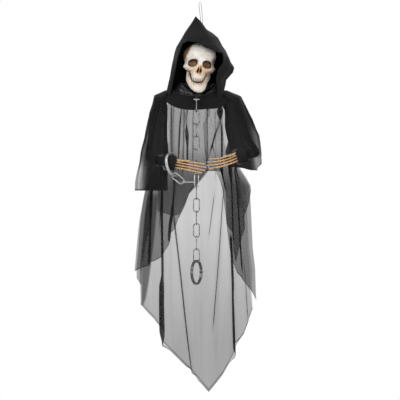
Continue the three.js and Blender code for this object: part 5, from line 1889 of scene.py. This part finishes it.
    def jaw(self) -> Skin:
        """Works out the jaw: a squarish oval section that runs round an arch, with tables of its top and foot.

        The arch is (half * sin(a), back - reach * cos(a)) for a from -end to end. The section's cosine and sine
        go to the jaw's powers, with lower teeth cut into the front of its top and a boss at the chin.

        Returns:
            The skin with its wash and depth.
        """
        a = np.linspace(-self.jaw_end, self.jaw_end, 260)[:, None]
        b = circle(96, -np.pi)
        aside = np.abs(a)
        top, foot = read_table(self.jaw_top, aside), read_table(self.jaw_foot, aside)
        ends = np.sqrt(np.clip((self.jaw_end - aside) * 9, 0.02, 1))
        squash = power(np.cos(b), self.jaw_powers[0])
        share = (power(np.sin(b), self.jaw_powers[1]) + 1) / 2
        outside = smooth(squash, 0.2, 0.8)
        z = foot + (top - foot) * (0.5 + (share - 0.5) * ends)
        out = (self.jaw_thick[0] - self.jaw_thick[1] * smooth(aside, 0.8, 1.3)) * squash * ends
        out = out * (0.75 + 0.25 * np.sin(np.pi * share))
        tooth = np.abs(np.sin(np.pi * (self.jaw_half * np.sin(a) / self.jaw_tooth + 0.5)))
        toothed = smooth(share, 0.74, 0.8) * (aside < 0.56)
        chin = 5 * bump(a, 0, 0.3) * bump(z, -108, 9) - 3 * bump(aside, 0.3, 0.26) * bump(z, -96, 7)
        crown = self.tooth_depths[1] * tooth ** self.tooth_round - self.tooth_sink
        out = out + outside * (chin + toothed * crown)
        x, y = (self.jaw_half + out) * np.sin(a), self.jaw_back - (self.jaw_reach + out) * np.cos(a)
        lean = (read_table(self.middle, z) - 2.5) * smooth(np.cos(a), -0.3, 0.4)
        wash = 0.16 + outside * (0.5 * toothed * (1 - tooth) + 0.22 * smooth(share, 0.5, 0.85)) + 0.2 * (1 - outside)
        wash = wash + 0.12 * bump(aside, 1.0, 0.35) + 0.12 * self.mottle(x, y, z, 37)
        deep = darkest(0.95 * smooth(share, 0.93, 0.985) * (aside < 0.95),
                       0.8 * smooth(squash, 0.3, 0.7) * smooth(share, 0.6, 0.9) * bump(aside, 0.88, 0.07),
                       0.6 * outside * toothed * smooth(-tooth, -0.45, -0.15), 0.7 * (1 - outside) * (share > 0.2))
        return Skin().grid(self.place(stack(x + lean, y, z)), around=True, caps=True, wash=np.clip(wash, 0, 1),
                           depth=np.clip(deep, 0, 1))

    def build(self) -> None:
        """Builds and dresses the cranium with the face, and the jaw."""
        bone = PaintedBone("SkullPaint").build()
        dress(self.cranium().solid("skull_moulding"), bone, Slot.BONE, "figure", "skull_face", "skull_back")
        dress(self.jaw().solid("jaw_moulding"), bone, Slot.BONE, "jaw", "jaw")


@dataclass
class Carrier:
    """What holds the figure up: the CAD nodes of loop, plug, post, hanger, tab and jaw pins in their finishes."""

    plans: Sequence[tuple[PlainMould | KnitCloth, tuple[str, ...]]] = (
        (PlainMould("LoopSteel", (0.1, 0.1, 0.105), 0.37, 0.4), ("hanging_loop", "jaw_pin_left", "jaw_pin_right")),
        (PlainMould("BlackMould", (0.02, 0.02, 0.021), 0.42), ("crown_plug", "neck_post", "shoulder_hanger")),
        (KnitCloth("TabWeb", ribs=900), ("collar_tab",)))

    def build(self) -> None:
        """Dresses the CAD nodes that stay."""
        for finish, nodes in self.plans:
            material = finish.build()
            for node in nodes:
                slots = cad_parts[node].data.materials
                slots.clear()
                slots.append(material)
                log.info("%s keeps its solid in %s", node, finish.name)


HANDS = (
    Hand(Side.LEFT, (-92, -152, -652), (0.963, -0.207, -0.178), (-168.3, 24, -391),
         ((0, 0, 0.02), (0, -0.02, -0.08), (-0.04, -0.163, -0.253), (-0.08, -0.313, -0.52)), 2.3,
         (0.86, 1, 0.96, 0.8), 32),
    Hand(Side.RIGHT, (146, -141, -626), (-0.97, -0.118, -0.213), (148.3, 24, -391),
         ((0, 0, 0.02), (0, -0.02, -0.08), (0.073, -0.163, -0.253), (0.133, -0.313, -0.503)), 1.7,
         (0.82, 0.94, 1, 0.9), 31, 7.0))
SHACKLES = (
    Shackle("drop_shackle", "drop_ring", "drop_gate", (-12, -130, -1081.882),
            ((0.40674, 0.91355, 0), (-0.91355, 0.40674, 0), (0, 0, 1)),
            PlatedPlastic("ShacklePlate", (0.26, 0.26, 0.27), (0.03, 0.03, 0.032), roughness=0.28)),
    Shackle("cuff_shackle", "figure", "cuff_gate", (-106, -148, -656),
            ((0.5, 0.86603, 0), (0.8471, -0.48907, 0.20791), (0.18006, -0.10396, -0.97815)),
            # A brighter copy of the same plating: painted highlight on the cuff shackle.
            PlatedPlastic("CuffPlate", (0.85, 0.85, 0.85), (0.45, 0.45, 0.45))))


def main() -> None:
    """Builds the studio and each sub-assembly in order."""
    logging.basicConfig(level=logging.INFO, format="%(message)s")
    drape = Drape()
    for part in (Studio(), Carrier(), Robes(drape), Sleeves(drape), Hood(drape), Skull(), Collar(drape), Chain()):
        part.build()
    steel = PlainMould("RivetSteel", (0.45, 0.45, 0.46), 0.22, 1.0).build()
    for shackle in SHACKLES:
        shackle.build(steel)
    bone = PaintedBone("HandBone", (0.8, 0.54, 0.32), (0.52, 0.27, 0.11), (0.03, 0.016, 0.01), mottle=0.2).build()
    cloth = KnitCloth("WrapKnit", (0.008, 0.008, 0.0085), 600.0).build()
    for hand in HANDS:
        hand.build(bone, cloth)
    boxes = {"cad": CAD_BOX, "visual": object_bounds()}
    {name: [list(map(float, corner)) for corner in box] for name, box in boxes.items()}


if __name__ == "__main__":
    main()
